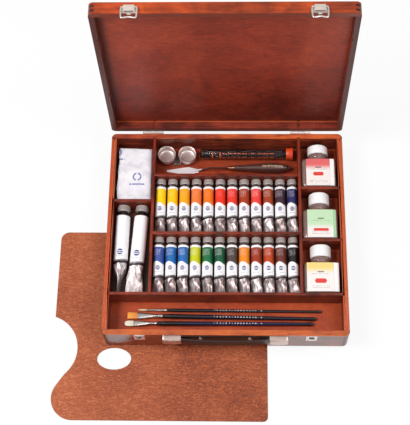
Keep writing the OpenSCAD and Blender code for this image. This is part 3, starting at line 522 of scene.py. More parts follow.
def palette_board():
    """Oiled hardboard with a skin like leather: short wavy creases, about 3 mm apart, over slow clouds."""
    f = Finish("palette board", Coat_Weight=0.05, Coat_Roughness=0.4, Specular_IOR_Level=0.25)
    folds = f.noise(0.2, 4, 0.62, 1.7, (0.33, 1, 1))
    creases = abs(folds - 0.5).ease(0, 0.09)
    grains = f.noise(0.9, 3, 0.6, squeeze=(0.5, 1, 1))
    clouds = f.noise(0.010, 3)
    left, right = (corner[0] for corner in box("palette"))
    tone = creases * 0.34 + (grains - 0.5) * 0.5 + (clouds - 0.5) * 0.6 + 0.25
    # Painted light: the board is lighter at the left and darker at the right.
    tone = tone + f.axis("X").ease(left, right, 0.04, -0.08)
    colour = f.ramp(tone, zip((0.1, 0.45, 0.8), tones((116, 50, 28), (166, 84, 50), (196, 112, 72))))
    return f.made(colour, 0.5 - creases * 0.12, creases + grains * 0.6, 0.3, 0.6)


def black_strap():
    """Smooth black leather, faintly grained."""
    f = Finish("black strap", Coat_Weight=0.15, Coat_Roughness=0.3)
    grain = f.node("TexVoronoi", {"feature": "F1"}, {"Vector": f.place(), "Scale": 1.6})
    dust = f.noise(0.1, 3)
    colour = f.ramp(dust, [(0.35, rgb(18, 16, 17)), (0.75, rgb(40, 36, 36))])
    return f.made(colour, 0.36 + dust * 0.16, grain, 0.06, 0.35)


CLOTH_PRINTS = ((-154, 104), (-190, 152))


def white_cotton():
    """Plain white cloth: crossed threads, painted shade in soft grey where its relief is low, and a printed
    blue ring over a row of dashes, with a second of each run off at the back left corner."""
    f = Finish("white cotton", Sheen_Weight=0.2)
    weave = (f.uv("X") * 2600).sin() * (f.uv("Y") * 9000).sin()
    soft = f.noise(0.045, 4, 0.6, 0.8)
    # Painted shade: the cloth turns soft grey where its relief sinks.
    cloth = f.ramp(soft, zip((0.3, 0.5, 0.7), tones((204, 201, 209), (230, 228, 234), (241, 240, 244))))
    ink = f.noise(0.9, 2, 0.6)
    shown = 0.0
    for x, y in CLOTH_PRINTS:
        across, along = f.axis("X") - x, f.axis("Y") - y
        blue_ring = (abs(across * across + along * along - 42) < 17) * (abs(across) > 1.2)
        row = (abs(along + 14) < 1.3) * (abs(across) < 13) * f.dashes(0.5, 0.44)
        shown = blue_ring + row + shown
    shown = shown * (f.axis("Z") > CLOTH_HIGH[2] - 5) * (ink > 0.36)
    colour = f.mix(shown * 0.85, cloth, rgb(62, 76, 158))
    return f.made(colour, 0.86 + weave * 0.05, weave * 0.3 + soft, 0.25, 0.4)


def plastic(name, colour, roughness=0.4, depth=0.05, shade=0.86):
    """Moulded plastic with slow uneven tone and a faint matt relief."""
    f = Finish(name, IOR=1.5)
    cloud = f.noise(0.06, 3, 0.6)
    grit = f.noise(3)
    tone = f.between(cloud, shaded(colour, shade), colour)
    return f.made(tone, roughness + (grit - 0.5) * 0.12, grit, depth, 0.4)


def clear(name, tint, roughness=0.03, ior=1.45, clarity=1.0, gloss=0.5):
    """Clear glass or plastic, its surface slightly uneven. Below a clarity of 1 it is milky."""
    f = Finish(name, Transmission_Weight=clarity, IOR=ior, Specular_IOR_Level=gloss)
    wave = f.noise(0.08)
    return f.made(f.between(wave, tint, shaded(tint, 1.03)), roughness + wave * 0.03, wave, 0.2, 0.2)


bottle_glass = clear("bottle glass", rgb(222, 188, 180), clarity=0.78)
medium = clear("painting medium", rgb(238, 226, 208), 0.02, 1.36)
clear_plastic = clear("clear plastic", rgb(228, 230, 234), 0.05, 1.2, gloss=0.3)
cap_white = plastic("white cap", rgb(250, 248, 248), 0.42, shade=0.93)
cap_grey = plastic("grey tube cap", rgb(168, 156, 152))
cap_orange = plastic("orange cap", rgb(226, 74, 34), 0.3)
backing_black = plastic("black backing", rgb(26, 22, 22), 0.32)
charcoal_black = plastic("charcoal", rgb(60, 38, 34), 0.8, 0.2, 0.6)


def charcoal_print():
    """Clear film with two plain orange hoops and two rows of orange dashes on the upper front of the tube."""
    f = Finish("charcoal print", Roughness=0.4)
    x, up = f.axis("X"), f.uv("X") - 0.12
    rows = (abs(abs(up) - 0.065) < 0.02) * x.within(-7, 90) * f.dashes(0.4, 0.51)
    hoops = (x.within(-26, -23.6) + x.within(-12.6, -10.2)) * (abs(up) < 0.11)
    colour = f.between(f.noise(2), rgb(196, 84, 48), rgb(222, 104, 62))
    return f.made(colour, Alpha=(rows + hoops) * 0.8)


def badge(across, along, size):
    """1 on a plain round badge of that radius in millimetres, parted by two level gaps."""
    return ((across * across + along * along) < size**2) * (abs(abs(along) - 0.3 * size) > 0.13 * size)


def tube_skin(name, radius, marks, lines, colours=None, prints=None, pitch=1.0, shine=0.0):
    """Printed aluminium, drawn along the tube from its cap in millimetres: painted shade over the neck, bare
    shoulder, white ring, a band of colour with a wavy lower edge, white label with a plain blue badge, a grey
    and a black line, crumpled foil with painted light that is brighter towards one side of the tube, more so
    as shine rises. Colours change along X from tube to tube, and prints is how much their rows of fine
    dashes show at the left and at the right."""
    neck_shade_to, shoulder_to, ring_to, band_to, label_to = marks
    grey_from, black_from, foil_from = lines
    f = Finish(name, Coat_Weight=0)
    u, s = f.uv("X"), f.uv("Y")
    wave = (u * (4 * pi) - 0.69).sin()
    slant = (u * (2 * pi) + 1.25).sin()
    paint, shown = rgb(246, 246, 248), 0.0
    if colours:
        row = f.axis("X") / (pitch * len(colours)) + 0.5
        paint = f.ramp(row, [(i / len(colours), colour) for i, colour in enumerate(colours)], "CONSTANT")
        shown = row.ease(0.45, 0.55, *prints)
    crumple = abs(f.noise(0.14, 3, 0.55, 0.7, (1, 0.12, 1)) - 0.5) * 2.4
    fine = f.noise(0.3, 3, 0.6, 0.6)
    # Painted light: the foil is brighter towards one side of the tube, more so as shine rises.
    foil = f.ramp(crumple + fine * 0.3 + 0.05 + (0.22 + shine - u) * 0.9,
                  zip((0.2, 0.45, 0.9), tones((132, 114, 112), (204, 190, 190), (246, 240, 242))))
    label = f.mix(f.noise(0.05, 3).ease(0.3, 0.8) * 0.2, rgb(248, 247, 249), rgb(232, 230, 234))
    girth = 2 * pi * radius
    disc = badge((u - 0.24) * girth, s - (band_to + label_to) / 2 + 1.5, girth * 0.07)
    label = f.mix(disc, label, rgb(40, 48, 124))
    dash = f.noise(1.3, 1, squeeze=(1, 0.2, 1))
    line = s.within(label_to - 5.6, label_to - 4.2) * u.within(0.14, 0.34)
    label = f.mix(line * (dash > 0.45) * 0.45, label, rgb(60, 60, 90))
    rules = ((s * 2.9).sin() > 0.1) * (dash > 0.47) * u.within(0.06, 0.31)
    rules = rules * s.within(ring_to + 3, ring_to + 15) * shown
    painted = f.mix(rules, paint, rgb(236, 232, 234))
    colour = f.mix(s > band_to - wave * 2.2, painted, label)
    colour = f.mix(s < ring_to, colour, rgb(246, 246, 248))
    past = s - slant * 1.6 - label_to
    colour = f.mix(past > grey_from, colour, rgb(140, 128, 128))
    colour = f.mix(past > black_from, colour, rgb(12, 10, 12))
    neck, bare = s < shoulder_to, past > foil_from
    # Painted shade: the neck under the cap turns near black.
    foil = f.mix((s < neck_shade_to) * 0.9, foil, rgb(24, 22, 22))
    metallic = bare + neck
    return f.made(f.mix(metallic, colour, foil), 0.4 - metallic * 0.04 + (fine - 0.5) * 0.12,
                  crumple * bare * 0.35 + fine * (0.05 + neck * 0.5 + bare * 0.03), 0.8, 0.45,
                  Metallic=bare * 0.72 + neck * 0.95)


# Paint of each tube from left to right
BACK_ROW = tones((250, 212, 4), (250, 198, 6), (248, 168, 8), (238, 124, 56), (240, 118, 18), (236, 52, 26),
                 (236, 54, 40), (164, 56, 14), (238, 66, 56), (158, 60, 20), (60, 34, 48), (38, 40, 96))
FRONT_ROW = tones((56, 84, 158), (26, 100, 172), (30, 102, 178), (200, 204, 4), (10, 106, 60), (4, 82, 52),
                  (74, 60, 56), (242, 138, 20), (154, 48, 14), (184, 62, 12), (104, 44, 32), (16, 12, 10))

# ---- case

WOOD_BY_NODE = {
    "tray_front": tray_x, "tray_back": tray_back_wood, "tray_left": tray_y, "tray_right": tray_y,
    "row_dividers": divider_x, "side_dividers": divider_x, "brush_divider": divider_x,
    "column_dividers": divider_y,
    "lid_front": lid_x, "lid_back": lid_back_wood, "lid_left": lid_z, "lid_right": lid_z,
}
for node, finish in WOOD_BY_NODE.items():
    eased(node + "_board", node, "lid" if node.startswith("lid") else "case", finish, 0.5)
eased("tray_floor", "tray_bottom", "case", floor_ply, 0)
eased("lid_plywood", "lid_panel", "lid", lid_ply, 0.3)
eased("bed_boards", "tube_beds", "case", bed_wood, 0.3)
eased("palette_plate", "palette", "palette", palette_board(), 0.9, 3)

for node, body, finish, edge in (
    ("hinge_tray_leaves", "case", nickel, 0.2), ("hinge_lid_leaves", "lid", nickel, 0.2),
    ("hinge_pins", "case", pin_steel, 0.2), ("strikes", "case", strike_plate(), 0.3),
    ("tray_screws", "case", nickel, 0.2), ("lid_screws", "lid", nickel, 0.2),
    ("latch_plates", "lid", nickel, 0.25), ("latch_pins", "lid", pin_steel, 0.15),
    ("latch_lever_left", "latch_lever_left", lever_nickel, 0.5),
    ("latch_lever_right", "latch_lever_right", lever_nickel, 0.5),
):
    eased(node + "_metal", node, body, finish, edge)
eased("handle_backing_strip", "handle_backing", "case", backing_black)

# ---- latch loops

LOOP_HALF_W, LOOP_WIRE, LOOP_REACH, LOOP_LEAN = 11.3, 1.25, 20.9, radians(6)
LOOP_UP, LOOP_OUT = 9.6, 3.6


def latch_loop(side, sign):
    """Bent wire from pivot to pivot: legs that bow apart, and a bottom bar that rises at its middle."""
    w, low = LOOP_HALF_W, LOOP_WIRE - LOOP_REACH
    half = [(-w + 3.6, 0), (-w + 0.6, 0), (-w, -0.9), (-w - 0.5, -4.5), (-w - 0.4, low + 7),
            (-w + 0.2, low + 1.4), (-w + 1.6, low), (-w + 5, low + 0.2), (-2.6, low + 1.1)]
    x, z = through(half + [(0, low + 1.4)] + [(-x, z) for x, z in half[::-1]], 140).T
    path = np.stack([x, z * sin(LOOP_LEAN), z * cos(LOOP_LEAN)], -1)
    wire = lid_on(pipe(path, LOOP_WIRE, (0, 1, 0), 12, 0.8))
    wire = wire + np.array([sign * LATCH_X, FRONT_Y - LOOP_OUT, RIM_Z + LOOP_UP])
    node = f"latch_loop_{side}"
    skin(f"latch_wire_{side}", [opened(wire)], node, nickel, [node], 50)


latch_loop("left", -1)
latch_loop("right", 1)

# ---- handle strap

HANDLE_Z, STRAP_H, STRAP_T = centre("handle_backing")[2], 20, 2.4
GRIP_OUT, BEAD_OUT, PIVOT_X, LINK_L = 7.5, 4.4, 48, 28


def strap_half(side, sign, replaced):
    """Half of the strap: a flat band bowed out at its middle, its end in the cap thickened to a bead."""
    slope = asin((GRIP_OUT - BEAD_OUT) / LINK_L)
    end_x = PIVOT_X + LINK_L * cos(slope)
    stations = [(0, GRIP_OUT + 0.9), (16, GRIP_OUT + 0.8), (34, GRIP_OUT + 0.4), (PIVOT_X, GRIP_OUT - 0.1),
                (62, 5.9), (end_x - 3, BEAD_OUT + 0.2), (end_x, BEAD_OUT)]
    x, out = through(stations, 60).T
    thick = STRAP_T / 2 + 1.2 * smooth((x - end_x + 3.5) / 3)
    z, y = ring(np.full(len(x), STRAP_H / 2), thick, 5, 40)
    rows = np.stack([sign * (x[:, None] + 0 * y), FRONT_Y - out[:, None] + y, HANDLE_Z + z], -1)
    rows = np.concatenate([pole(rows[:1]), rows, pole(rows[-1:]) + [sign * 2.2, 0, 0]])
    obj = skin(f"strap_{side}", [rows], None, black_leather, [f"handle_link_{side}", *replaced], 60)
    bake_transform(obj)


black_leather = black_strap()
strap_half("left", -1, [])
strap_half("right", 1, ["handle_grip"])

CAP_END_X = box("handle_end_caps")[1][0]
CAP_W, CAP_OUT, CAP_BOW, CAP_WALL = 30, 9, 1, 1.2


def end_cap_side(wall, height, sign):
    """One side of an end cap's steel: half superellipses that stand out from the case, carried from the mouth
    to the closed end, bowed out by CAP_BOW at the middle, and rounded over at the end."""
    x = np.concatenate([np.linspace(CAP_W, 2, 12), [1, 0.4, 0.1, 0, 0, 0]])
    shrink = np.array([1] * 12 + [0.985, 0.96, 0.93, 0.88, 0.5, 0])[:, None]
    out = (CAP_OUT - CAP_BOW * (x / CAP_W * 2 - 1)[:, None] ** 2 - wall) * shrink
    turn = np.pi * np.linspace(-0.5, 0.5, 25)[None, :]
    c, s = np.abs(np.cos(turn)) ** (1 / 3), np.sign(np.sin(turn)) * np.abs(np.sin(turn)) ** (1 / 3)
    place = CAP_END_X - np.maximum(x, wall)[:, None] + 0 * c
    return np.stack([sign * place, FRONT_Y - out * c, HANDLE_Z + height * shrink * s], -1)


def end_cap_shell(sign):
    """A pressed steel cap over the strap's end: outside, inside, and the edge strips that join them."""
    outside, inside = end_cap_side(0, 11, sign), end_cap_side(CAP_WALL, 10.15, sign)
    edges = [(outside[0], inside[0]), (outside[:, 0], inside[:, 0]), (outside[:, -1], inside[:, -1])]
    return [outside, inside] + [np.stack(edge) for edge in edges]


skin("handle_cap_shells", end_cap_shell(-1) + end_cap_shell(1), "case", cap_steel,
     ["handle_end_caps"], 40)

# ---- paint tubes

TUBE_PITCH, TUBE_R, TUBE_L, TUBE_BODY, TUBE_Z = 20.45, 8.8, 100, 55, 40.1
LARGE_R, LARGE_L, LARGE_Y, LARGE_Z = 12, 160, 52.9, 36.3


def laid(across, along, up, place, lean=0.0):
    """Points of a tube from the end of its cap: along runs forwards, turned to the left by lean degrees."""
    c, s = cos(radians(lean)), sin(radians(lean))
    x, y, z = place
    return np.stack([x + across * c - along * s, y - along * c - across * s, z + up + 0 * along], -1)


def tube_body(place, r, l, body, crimp_w, twist, seed, lean=0.0):
    """Shoulder, label and tail: from a circle to a flat crimp, twist degrees off level. Half widths run from
    r to crimp_w / 2 and from r to 0.55, and creases pull the foil in between. Gives the surface with the
    distance of its rows from the cap's end."""
    cap, shoulder = 1.1 * r, 0.6 * r
    tail = l - cap - shoulder - body
    s = np.concatenate([[0.75 * cap, cap, cap + 0.5], np.linspace(cap + 0.8, cap + shoulder, 6),
                        np.linspace(cap + shoulder + 0.3, l - tail, 14),
                        np.linspace(l - tail + 0.6, l - 4.6, 30), np.linspace(l - 4.2, l, 6)])
    neck = r * np.interp(s, [0, cap, cap + shoulder * 0.45, cap + shoulder * 0.8, cap + shoulder, l],
                         [0.5, 0.62, 0.7, 0.93, 1, 1])
    t = smooth((s - (l - tail)) / (tail - 4.4)) ** 0.9
    across, up = ring(neck + (crimp_w / 2 - neck) * t, neck * (1 - t) + 0.55 * t, 2.0 - 0.15 * t, 60)
    turn = np.linspace(0, 2 * np.pi, 61)[None, :]
    depth = (s - (l - tail))[:, None] / tail
    rise = smooth(depth * 4) * (1 - 0.6 * smooth(depth * 1.15))
    folds = (0.5 - np.abs(np.sin(1.5 * turn + 3.2 * depth + seed * 1.7))) * 1.3
    folds = folds + (0.4 - np.abs(np.sin(2.5 * turn - 5.1 * depth + seed * 2.9))) * 0.8
    folds = folds + 0.25 * np.sin(5 * turn + 9 * depth + seed * 4.3)
    pull = 1 + np.where(depth > 0, 0.1 * rise * folds, 0)
    across, up = across * pull, up * (pull + np.where(depth > 0, 0.09 * rise * folds, 0))
    angle = radians(twist) * smooth(depth * 1.6)
    across, up = across * np.cos(angle) + up * np.sin(angle), up * np.cos(angle) - across * np.sin(angle)
    return lid_on(laid(across, s[:, None], up, place, lean)), np.concatenate([s[:1], s, s[-1:]])


def tube_cap(place, r, lean=0.0, length=1.1):
    """Screw cap: a rounded crown that widens to a fluted skirt, and a groove before the shoulder."""
    l = length * r
    stations = np.array([
        (0, 0), (0, 0.66), (0.1, 0.8), (0.45, 0.9), (1.1, 0.96), (l * 0.45, 0.97), (l * 0.55, 1),
        (l * 0.7, 1.02), (l * 0.76, 0.98), (l * 0.8, 0.86), (l * 0.9, 0.84), (l, 0.8), (l, 0.6)])
    s, across, up = turned(stations * [1, 0.95 * r], 96)
    flutes = 1 - ribs(96, 24, 0.028) * ((s > 0.8) & (s < l * 0.7))
    return laid(across * flutes, s, up * flutes, place, lean)


TUBE_ROWS = (("back", 101.1, BACK_ROW, (0.12, 0.45)), ("front", -6.5, FRONT_ROW, (0.5, 0.35)))
tube_prints = [tube_skin(f"tube print {name}", TUBE_R, (11.2, 15.6, 19.4, 47, 69),
                         (0, 2, 5.2), colours, prints, TUBE_PITCH) for name, y, colours, prints in TUBE_ROWS]
rng = np.random.default_rng(7)
for group, row, first in (("yellow", 0, 0), ("red", 0, 4), ("violet", 0, 8),
                          ("blue", 1, 0), ("green", 1, 4), ("earth", 1, 8)):
    bodies, caps = [], []
    for i in range(first, first + 4):
        place, twist = ((i - 5.5) * TUBE_PITCH, TUBE_ROWS[row][1], TUBE_Z), -rng.uniform(28, 34)
        bodies.append(tube_body(place, TUBE_R, TUBE_L, TUBE_BODY, 22, twist, 3.1 * i + 17 * row))
        caps.append(tube_cap(place, TUBE_R))
    node = f"tubes_{group}"
    skin(node + "_foil", bodies, node, tube_prints[row], [node])
    skin(node + "_caps", caps, node, cap_grey, (), 30)

# Each large tube's shine raises the painted light on its foil.
for side, x, body, crimp_w, twist, lean, shine in (("left", -175.1, 76, 23.6, 84, 1.1, 0.45),
                                                    ("right", -143.2, 80, 29.6, 12, 3.4, 0.15)):
    node, place = f"large_tube_{side}", (x, LARGE_Y - LARGE_R * sin(radians(lean)), LARGE_Z)
    finish = tube_skin(f"large tube print {side}", LARGE_R,
                       (18.6, 20.4, 24, 78, body + 23), (0.6, 3, 7), shine=shine)
    skin(node + "_foil", [tube_body(place, LARGE_R, LARGE_L, body, crimp_w, twist, x, lean)], node, finish,
         [node])
    skin(node + "_cap", [tube_cap(place, LARGE_R, lean, 0.88)], node, cap_grey, (), 30)

# ---- bottles

BOTTLE_X, BOTTLE_Z, CAP_FROM = 158.1, 36.3, 68.3
# Along the bottle from its base: half width, half thickness and squareness of its section
BOTTLE_STATIONS = np.array([
    (0, 20, 9, 5), (0.15, 25.9, 14, 5), (0.7, 28.8, 16.4, 5), (1.8, 30.1, 17.6, 5), (3.4, 30.5, 18, 5.5),
    (8, 30.5, 18, 6), (30, 30.5, 18, 6), (46, 30.5, 18, 6), (49.6, 30.2, 17.9, 5.5), (51.8, 28.8, 17.4, 4.5),
    (53.2, 25.6, 16.6, 3.6), (54, 21.5, 15.6, 2.8), (54.6, 17.5, 14.6, 2.3), (55.6, 15, 14, 2),
    *((s, r, r, 2) for s, r in ((57, 14.2), (58.4, 14.6), (59.4, 15.9), (62.4, 16.2), (64, 15.6),
                                (64.6, 12.2), (79.5, 11.9)))])
LABEL_LOW, LABEL_TOP = 1.4, 51.8


def carried(front, s, across, up):
    """Sections carried along a bottle from its base at y = front."""
    return np.stack([BOTTLE_X + across, front + s + 0 * across, BOTTLE_Z + up], -1)


def along_bottle(stations, front):
    """Those sections as superellipses, from the bottle's base at y = front."""
    s, half_w, half_h, power = stations.T
    return carried(front, s[:, None], *ring(half_w, half_h, power, 72))


def bottle_label(front, left, right):
    """The body's skin over the label's length, between two places across its upper side, 0.2 mm out."""
    across, up = ring(np.full(24, 30.7), np.full(24, 18.2), 6, 400)
    span = (across[0] > left) & (across[0] < right) & (up[0] > 0)
    return carried(front, np.linspace(LABEL_LOW, LABEL_TOP, 24)[:, None], across, up)[:, span]


def label_print(name, front, header, strip, seam, solid, stripe):
    """White label, drawn in millimetres from its top: a coloured head that fades out past its solid part, a
    plain red stripe of (middle, half width, from, to), a short dark rule and fine grey dashes. Beyond the
    seam lies a narrow second label, and a painted shadow runs along the seam."""
    f = Finish(name, Coat_Weight=0.1)
    x = f.axis("X") - BOTTLE_X
    depth = (front + LABEL_TOP) - f.axis("Y")
    paper = f.noise(0.4, 3)
    middle, half, low, high = stripe
    colour = f.mix(depth.ease(solid, solid + 12, 1, 0), rgb(241, 233, 229), header)
    rounded = abs(x - middle) - half + abs(depth - (low + high) / 2) * 0.5
    colour = f.mix((rounded < 0) * depth.within(low, high), colour, rgb(222, 52, 44))
    rule = (abs(x - middle) < 5.2) * depth.within(15, 17.4)
    colour = f.mix(rule * 0.75, colour, rgb(60, 50, 52))
    dash = f.noise(3, 1, squeeze=(0.3, 0.06, 1)) > 0.46
    for at in (20, 41, 44):
        row = (abs(depth - at) < 0.55) * (abs(x - middle) < 15)
        colour = f.mix(row * dash * 0.55, colour, rgb(110, 98, 100))
    # Painted shadow: a grey line along the seam.
    side = f.mix((abs(x - seam) < 0.5) * 0.5, strip, rgb(150, 130, 126))
    colour = f.mix(x < seam, side, colour)
    colour = f.mix(paper.ease(0.4, 0.8) * 0.1, colour, rgb(206, 202, 200))
    return f.made(colour, 0.45 + paper * 0.1, paper, 0.04)


def bottle(place, front, left, right, cap_l, label):
    """Glass with a hollow 2 mm inside it, filled to the shoulder, a label and a ribbed screw cap."""
    node = f"bottle_{place}"
    hollow = BOTTLE_STATIONS.copy()
    hollow[:, 1:3] = np.maximum(hollow[:, 1:3] - 2, 3)
    hollow[:, 0] = np.maximum(hollow[:, 0], 2 + hollow[:, 0] * 0.02)
    glass, inner = (along_bottle(stations, front) for stations in (BOTTLE_STATIONS, hollow))
    glass, inner = (np.concatenate([pole(wall[:1]), wall]) for wall in (glass, inner))
    inner[-1] = inner[-1] * [1, 0, 1] + [0, glass[-1, 0, 1], 0]
    lip = np.stack([glass[-1], inner[-1]])
    skin(node + "_glass", [glass, lip, inner], node, bottle_glass, [node], 40)
    fill = hollow[hollow[:, 0] < 51]
    fill[:, 1:3] -= 0.12
    fill[0, 0] += 0.1
    skin(node + "_medium", [lid_on(along_bottle(fill, front))], node, medium, (), 40)
    finish = label_print(f"label {place}", front, *label)
    skin(node + "_label", [bottle_label(front, left, right)], node, finish, (), 40, False)
    s, across, up = turned([
        (-3.2, 12.4), (-3.6, 16.4), (-3.6, 16.9), (-3.3, 17.2), (-2, 17.3), (-1.8, 17), (-0.6, 17),
        (-0.3, 17.5), (cap_l - 3.4, 17.5), (cap_l - 1.5, 17), (cap_l - 0.4, 15.8), (cap_l, 13.6),
        (cap_l, 0)], 168)
    ribbed = 1 - ribs(168, 56, 0.012) * ((s > -0.4) & (s < cap_l - 3.2))
    cap = f"bottle_cap_{place}"
    shell = carried(front + CAP_FROM, s, across * ribbed, up * ribbed)
    skin(node + "_cap", [shell], cap, cap_white, [cap])


PAPER, ROSE, LEAF, LEAF_SIDE, STRAW = tones(
    (246, 244, 243), (226, 100, 100), (192, 224, 184), (164, 212, 164), (244, 212, 124))
bottle("back", 84.3, -21.2, 27, 12.6, (ROSE, PAPER, 19.3, 10, (-0.5, 9.2, 25, 32)))
bottle("middle", -11.3, -21.5, 27, 17.4, (LEAF, LEAF_SIDE, 22, 24, (1.4, 13, 34, 39)))
bottle("front", -106.9, -24.3, 28.6, 17.4, (STRAW, PAPER, 19.8, 8, (-1.6, 10, 28, 36)))

# ---- brushes


def swung(rows, tip, yaw):
    """Turns a brush's points about the upright line through its tip, by yaw degrees to the left."""
    c, s = cos(radians(yaw)), sin(radians(yaw))
    x, y, z = np.moveaxis(rows - np.array(tip), -1, 0)
    return np.stack([x * c - y * s, x * s + y * c, z], -1) + np.array(tip)


def along_x(start, s, across, up):
    """Sections carried along X from a starting point."""
    return np.stack([start[0] + s + 0 * across, start[1] + across, start[2] + up], -1)


def bundle(tip, stations, count):
    """Smooth sections along X from a brush's tip: place, half width, half thickness and squareness."""
    s, half_w, half_h, power = through(stations, count).T
    return along_x(tip, s[:, None], *ring(np.maximum(half_w, 0), np.maximum(half_h, 0), power, 40))


def brush_lacquer(name, depth):
    """Black lacquer that runs to deep blue, with a row of small pale dashes along the middle of its top."""
    f = Finish(name, Coat_Weight=0.8, Coat_Roughness=0.08)
    x = f.axis("X")
    cloud = f.noise(0.3, squeeze=(0.1, 1, 1))
    blue = x.ease(-90, -30) * (1 - x.ease(100, 160)) * (0.5 + cloud * 0.5) * depth
    dashes = ((x * 1.3).sin() > 0) * (f.noise(0.5, 1, squeeze=(0.9, MM, MM)) > 0.46)
    dashes = dashes * (abs(f.uv("X") - 0.25) < 0.05) * x.within(-20, 62)
    colour = f.mix(blue, rgb(15, 13, 16), rgb(24, 30, 72))
    return f.made(f.mix(dashes * 0.85, colour, rgb(214, 206, 212)), 0.22 + cloud * 0.1, cloud, 0.03, 0.2)


def tuft_hair(name, tip, root, at_root, at_tip):
    """Hairs along X: thin streaks, and a change of colour from tip to root."""
    f = Finish(name, Sheen_Weight=0.15)
    hairs = f.noise(3.2, 3, 0.7, squeeze=(0.03, 1, 1))
    colour = f.mix(f.axis("X").ease(tip, root), at_tip, at_root)
    colour = f.mix(hairs.ease(0.45, 0.75) * 0.35, colour, shaded(at_root, 0.45))
    return f.made(colour, 0.5 + hairs * 0.2, hairs, 0.25, 0.6)


BRUSHES = (
    # name, tip, turn in degrees, handle radius, whole, tuft and ferrule length, hair colours at root and tip,
    # how blue its lacquer is, the ferrule's section at the hair, and the tuft's sections, each as in a bundle
    ("round", (-146, -127.8, 21), -0.3, 2.95, 305, 15, 34, tones((206, 176, 132), (240, 226, 196)), 0.1,
     (1.85, 1.85, 2), ((0, 0, 0, 2), (1.4, 0.35, 0.35, 2), (6, 1.25, 1.25, 2), (11.25, 1.8, 1.8, 2),
                       (16.5, 1.55, 1.55, 2))),
    ("flat", (-162, -138.1, 22.3), -0.8, 4, 312, 16, 42, tones((226, 132, 40), (244, 160, 60)), 0.25,
     (5.45, 1.75, 3.2), ((0, 0, 0, 3), (0.05, 5, 0.5, 3), (3.52, 5.5, 1.1, 3), (11.2, 5.5, 1.5, 3),
                         (17.5, 5.2, 1.5, 3))),
    ("filbert", (-166, -151.8, 22.3), 0.1, 4, 311, 14, 39, tones((222, 214, 186), (240, 236, 216)), 0.9,
     (4.75, 1.75, 3.2), ((0, 0, 0, 3), (0.05, 2.2, 0.5, 3), (3.08, 4.2, 1.1, 3), (9.8, 4.9, 1.5, 3),
                         (15.5, 4.5, 1.5, 3))),
)
for name, tip, yaw, r, length, tuft_l, ferrule_l, hair, blue, (w, h, p), tuft in BRUSHES:
    node, end = f"brush_{name}", tuft_l + ferrule_l
    tuft = bundle(tip, tuft, 30)
    tuft[..., 0] += 0.35 * np.sin(np.arange(41) * 2.399) * smooth(1 - np.linspace(0, 1, 30) * 3)[:, None]
    finish = tuft_hair(f"{name} tuft", tip[0], tip[0] + tuft_l, *hair)
    skin(node + "_tuft", [swung(tuft, tip, yaw)], node, finish, (), 60)
    n = 0.82 * r
    ferrule = bundle(tip, [
        (tuft_l, w, h, p), (tuft_l + ferrule_l * 0.12, w, h, p),
        (tuft_l + ferrule_l * 0.45, (w + n) / 2, (h + n) / 2, (p + 2) / 2), (end - ferrule_l * 0.3, n, n, 2),
        (end, n + 0.15, n + 0.15, 2)], 60)
    s = (ferrule[:, :1, 0] - tip[0] - end)[..., None]
    dents = sum(np.exp(-((s + at) / 0.55) ** 2) for at in (3, 5.2, 7.4))
    middle = np.array([0, tip[1], tip[2]])
    ferrule = np.where([True, False, False], ferrule, middle + (ferrule - middle) * (1 - 0.09 * dents))
    skin(node + "_ferrule", [lid_on(swung(ferrule, tip, yaw))], node, ferrule_nickel, (), 40)
    handle = bundle(tip, [(s, share * r, share * r, 2) for s, share in (
        (end - 1, 0.8), (end + 8, 0.92), (end + 25, 1), (end + 110, 0.86), (length - 30, 0.72),
        (length - 6, 0.76), (length - 1.2, 0.6), (length, 0.05 / r))], 90)
    finish = brush_lacquer(f"{name} brush lacquer", blue)
    skin(node + "_handle", [lid_on(swung(handle, tip, yaw))], node, finish, [node], 50)

# ---- knife, dippers, charcoal

eased("knife_blade_steel", "knife_blade", "knife", knife_steel(), 0.15)
eased("knife_ferrule_brass", "knife_ferrule", "knife", ferrule_copper, 0.2)
eased("knife_handle_wood", "knife_handle", "knife", handle_wood(), 0.3)

DIPPER_X, DIPPER_Y, CUP_APART, CLIP_HALF_W = -87, 154.7, 36, 6


def dipper_cups():
    """Spun cups: flat bottoms, steep walls that turn up through a tight bend, and a rolled lip."""
    up, x, y = turned([
        (3, 0), (3, 12.4), (3.2, 13.4), (3.9, 14.4), (5, 15), (8, 15.3), (12, 15.5), (15.6, 15.6),
        (16.4, 15.8), (17, 15.7), (17.1, 15.3), (16.9, 14.9), (16, 14.8), (12, 14.7), (8, 14.5), (6, 14.3),
        (4.9, 13.6), (4.2, 12.6), (3.9, 11.4), (3.9, 6), (3.9, 0)], 72)
    return [np.stack([DIPPER_X + side + x, DIPPER_Y + y, FLOOR_Z + up], -1)
            for side in (-CUP_APART / 2, CUP_APART / 2)]


def spring_clip():
    """A strip folded back under the cups: a flat section carried round a hairpin."""
    bends = ((5.5, 0.45), (-12, 0.45), (-13.8, 0.9), (-13.8, 2), (-12, 2.55), (5, 2.55))
    path = through([(DIPPER_X, y, z) for y, z in bends], 60) + [0, DIPPER_Y, FLOOR_Z]
    strip = pipe(path, CLIP_HALF_W, (1, 0, 0), 16)
    side = strip[..., 0] - DIPPER_X
    flat = path[:, None] + (strip - path[:, None]) * 0.06
    flat[..., 0] = DIPPER_X + CLIP_HALF_W * np.sign(side) * np.minimum(1, np.abs(side) / 3)
    return lid_on(flat)


skin("dipper_cups", dipper_cups(), "dippers", spun_steel, ["dippers"], 45)
skin("dipper_clip", [spring_clip()], "dippers", shaded_clip_steel, (), 45)

CHARCOAL = (-46, 158, 29.4)


def along_charcoal(stations):
    """A turned profile along the charcoal tube from its closed end."""
    return [along_x(CHARCOAL, *turned(stations, 64))]


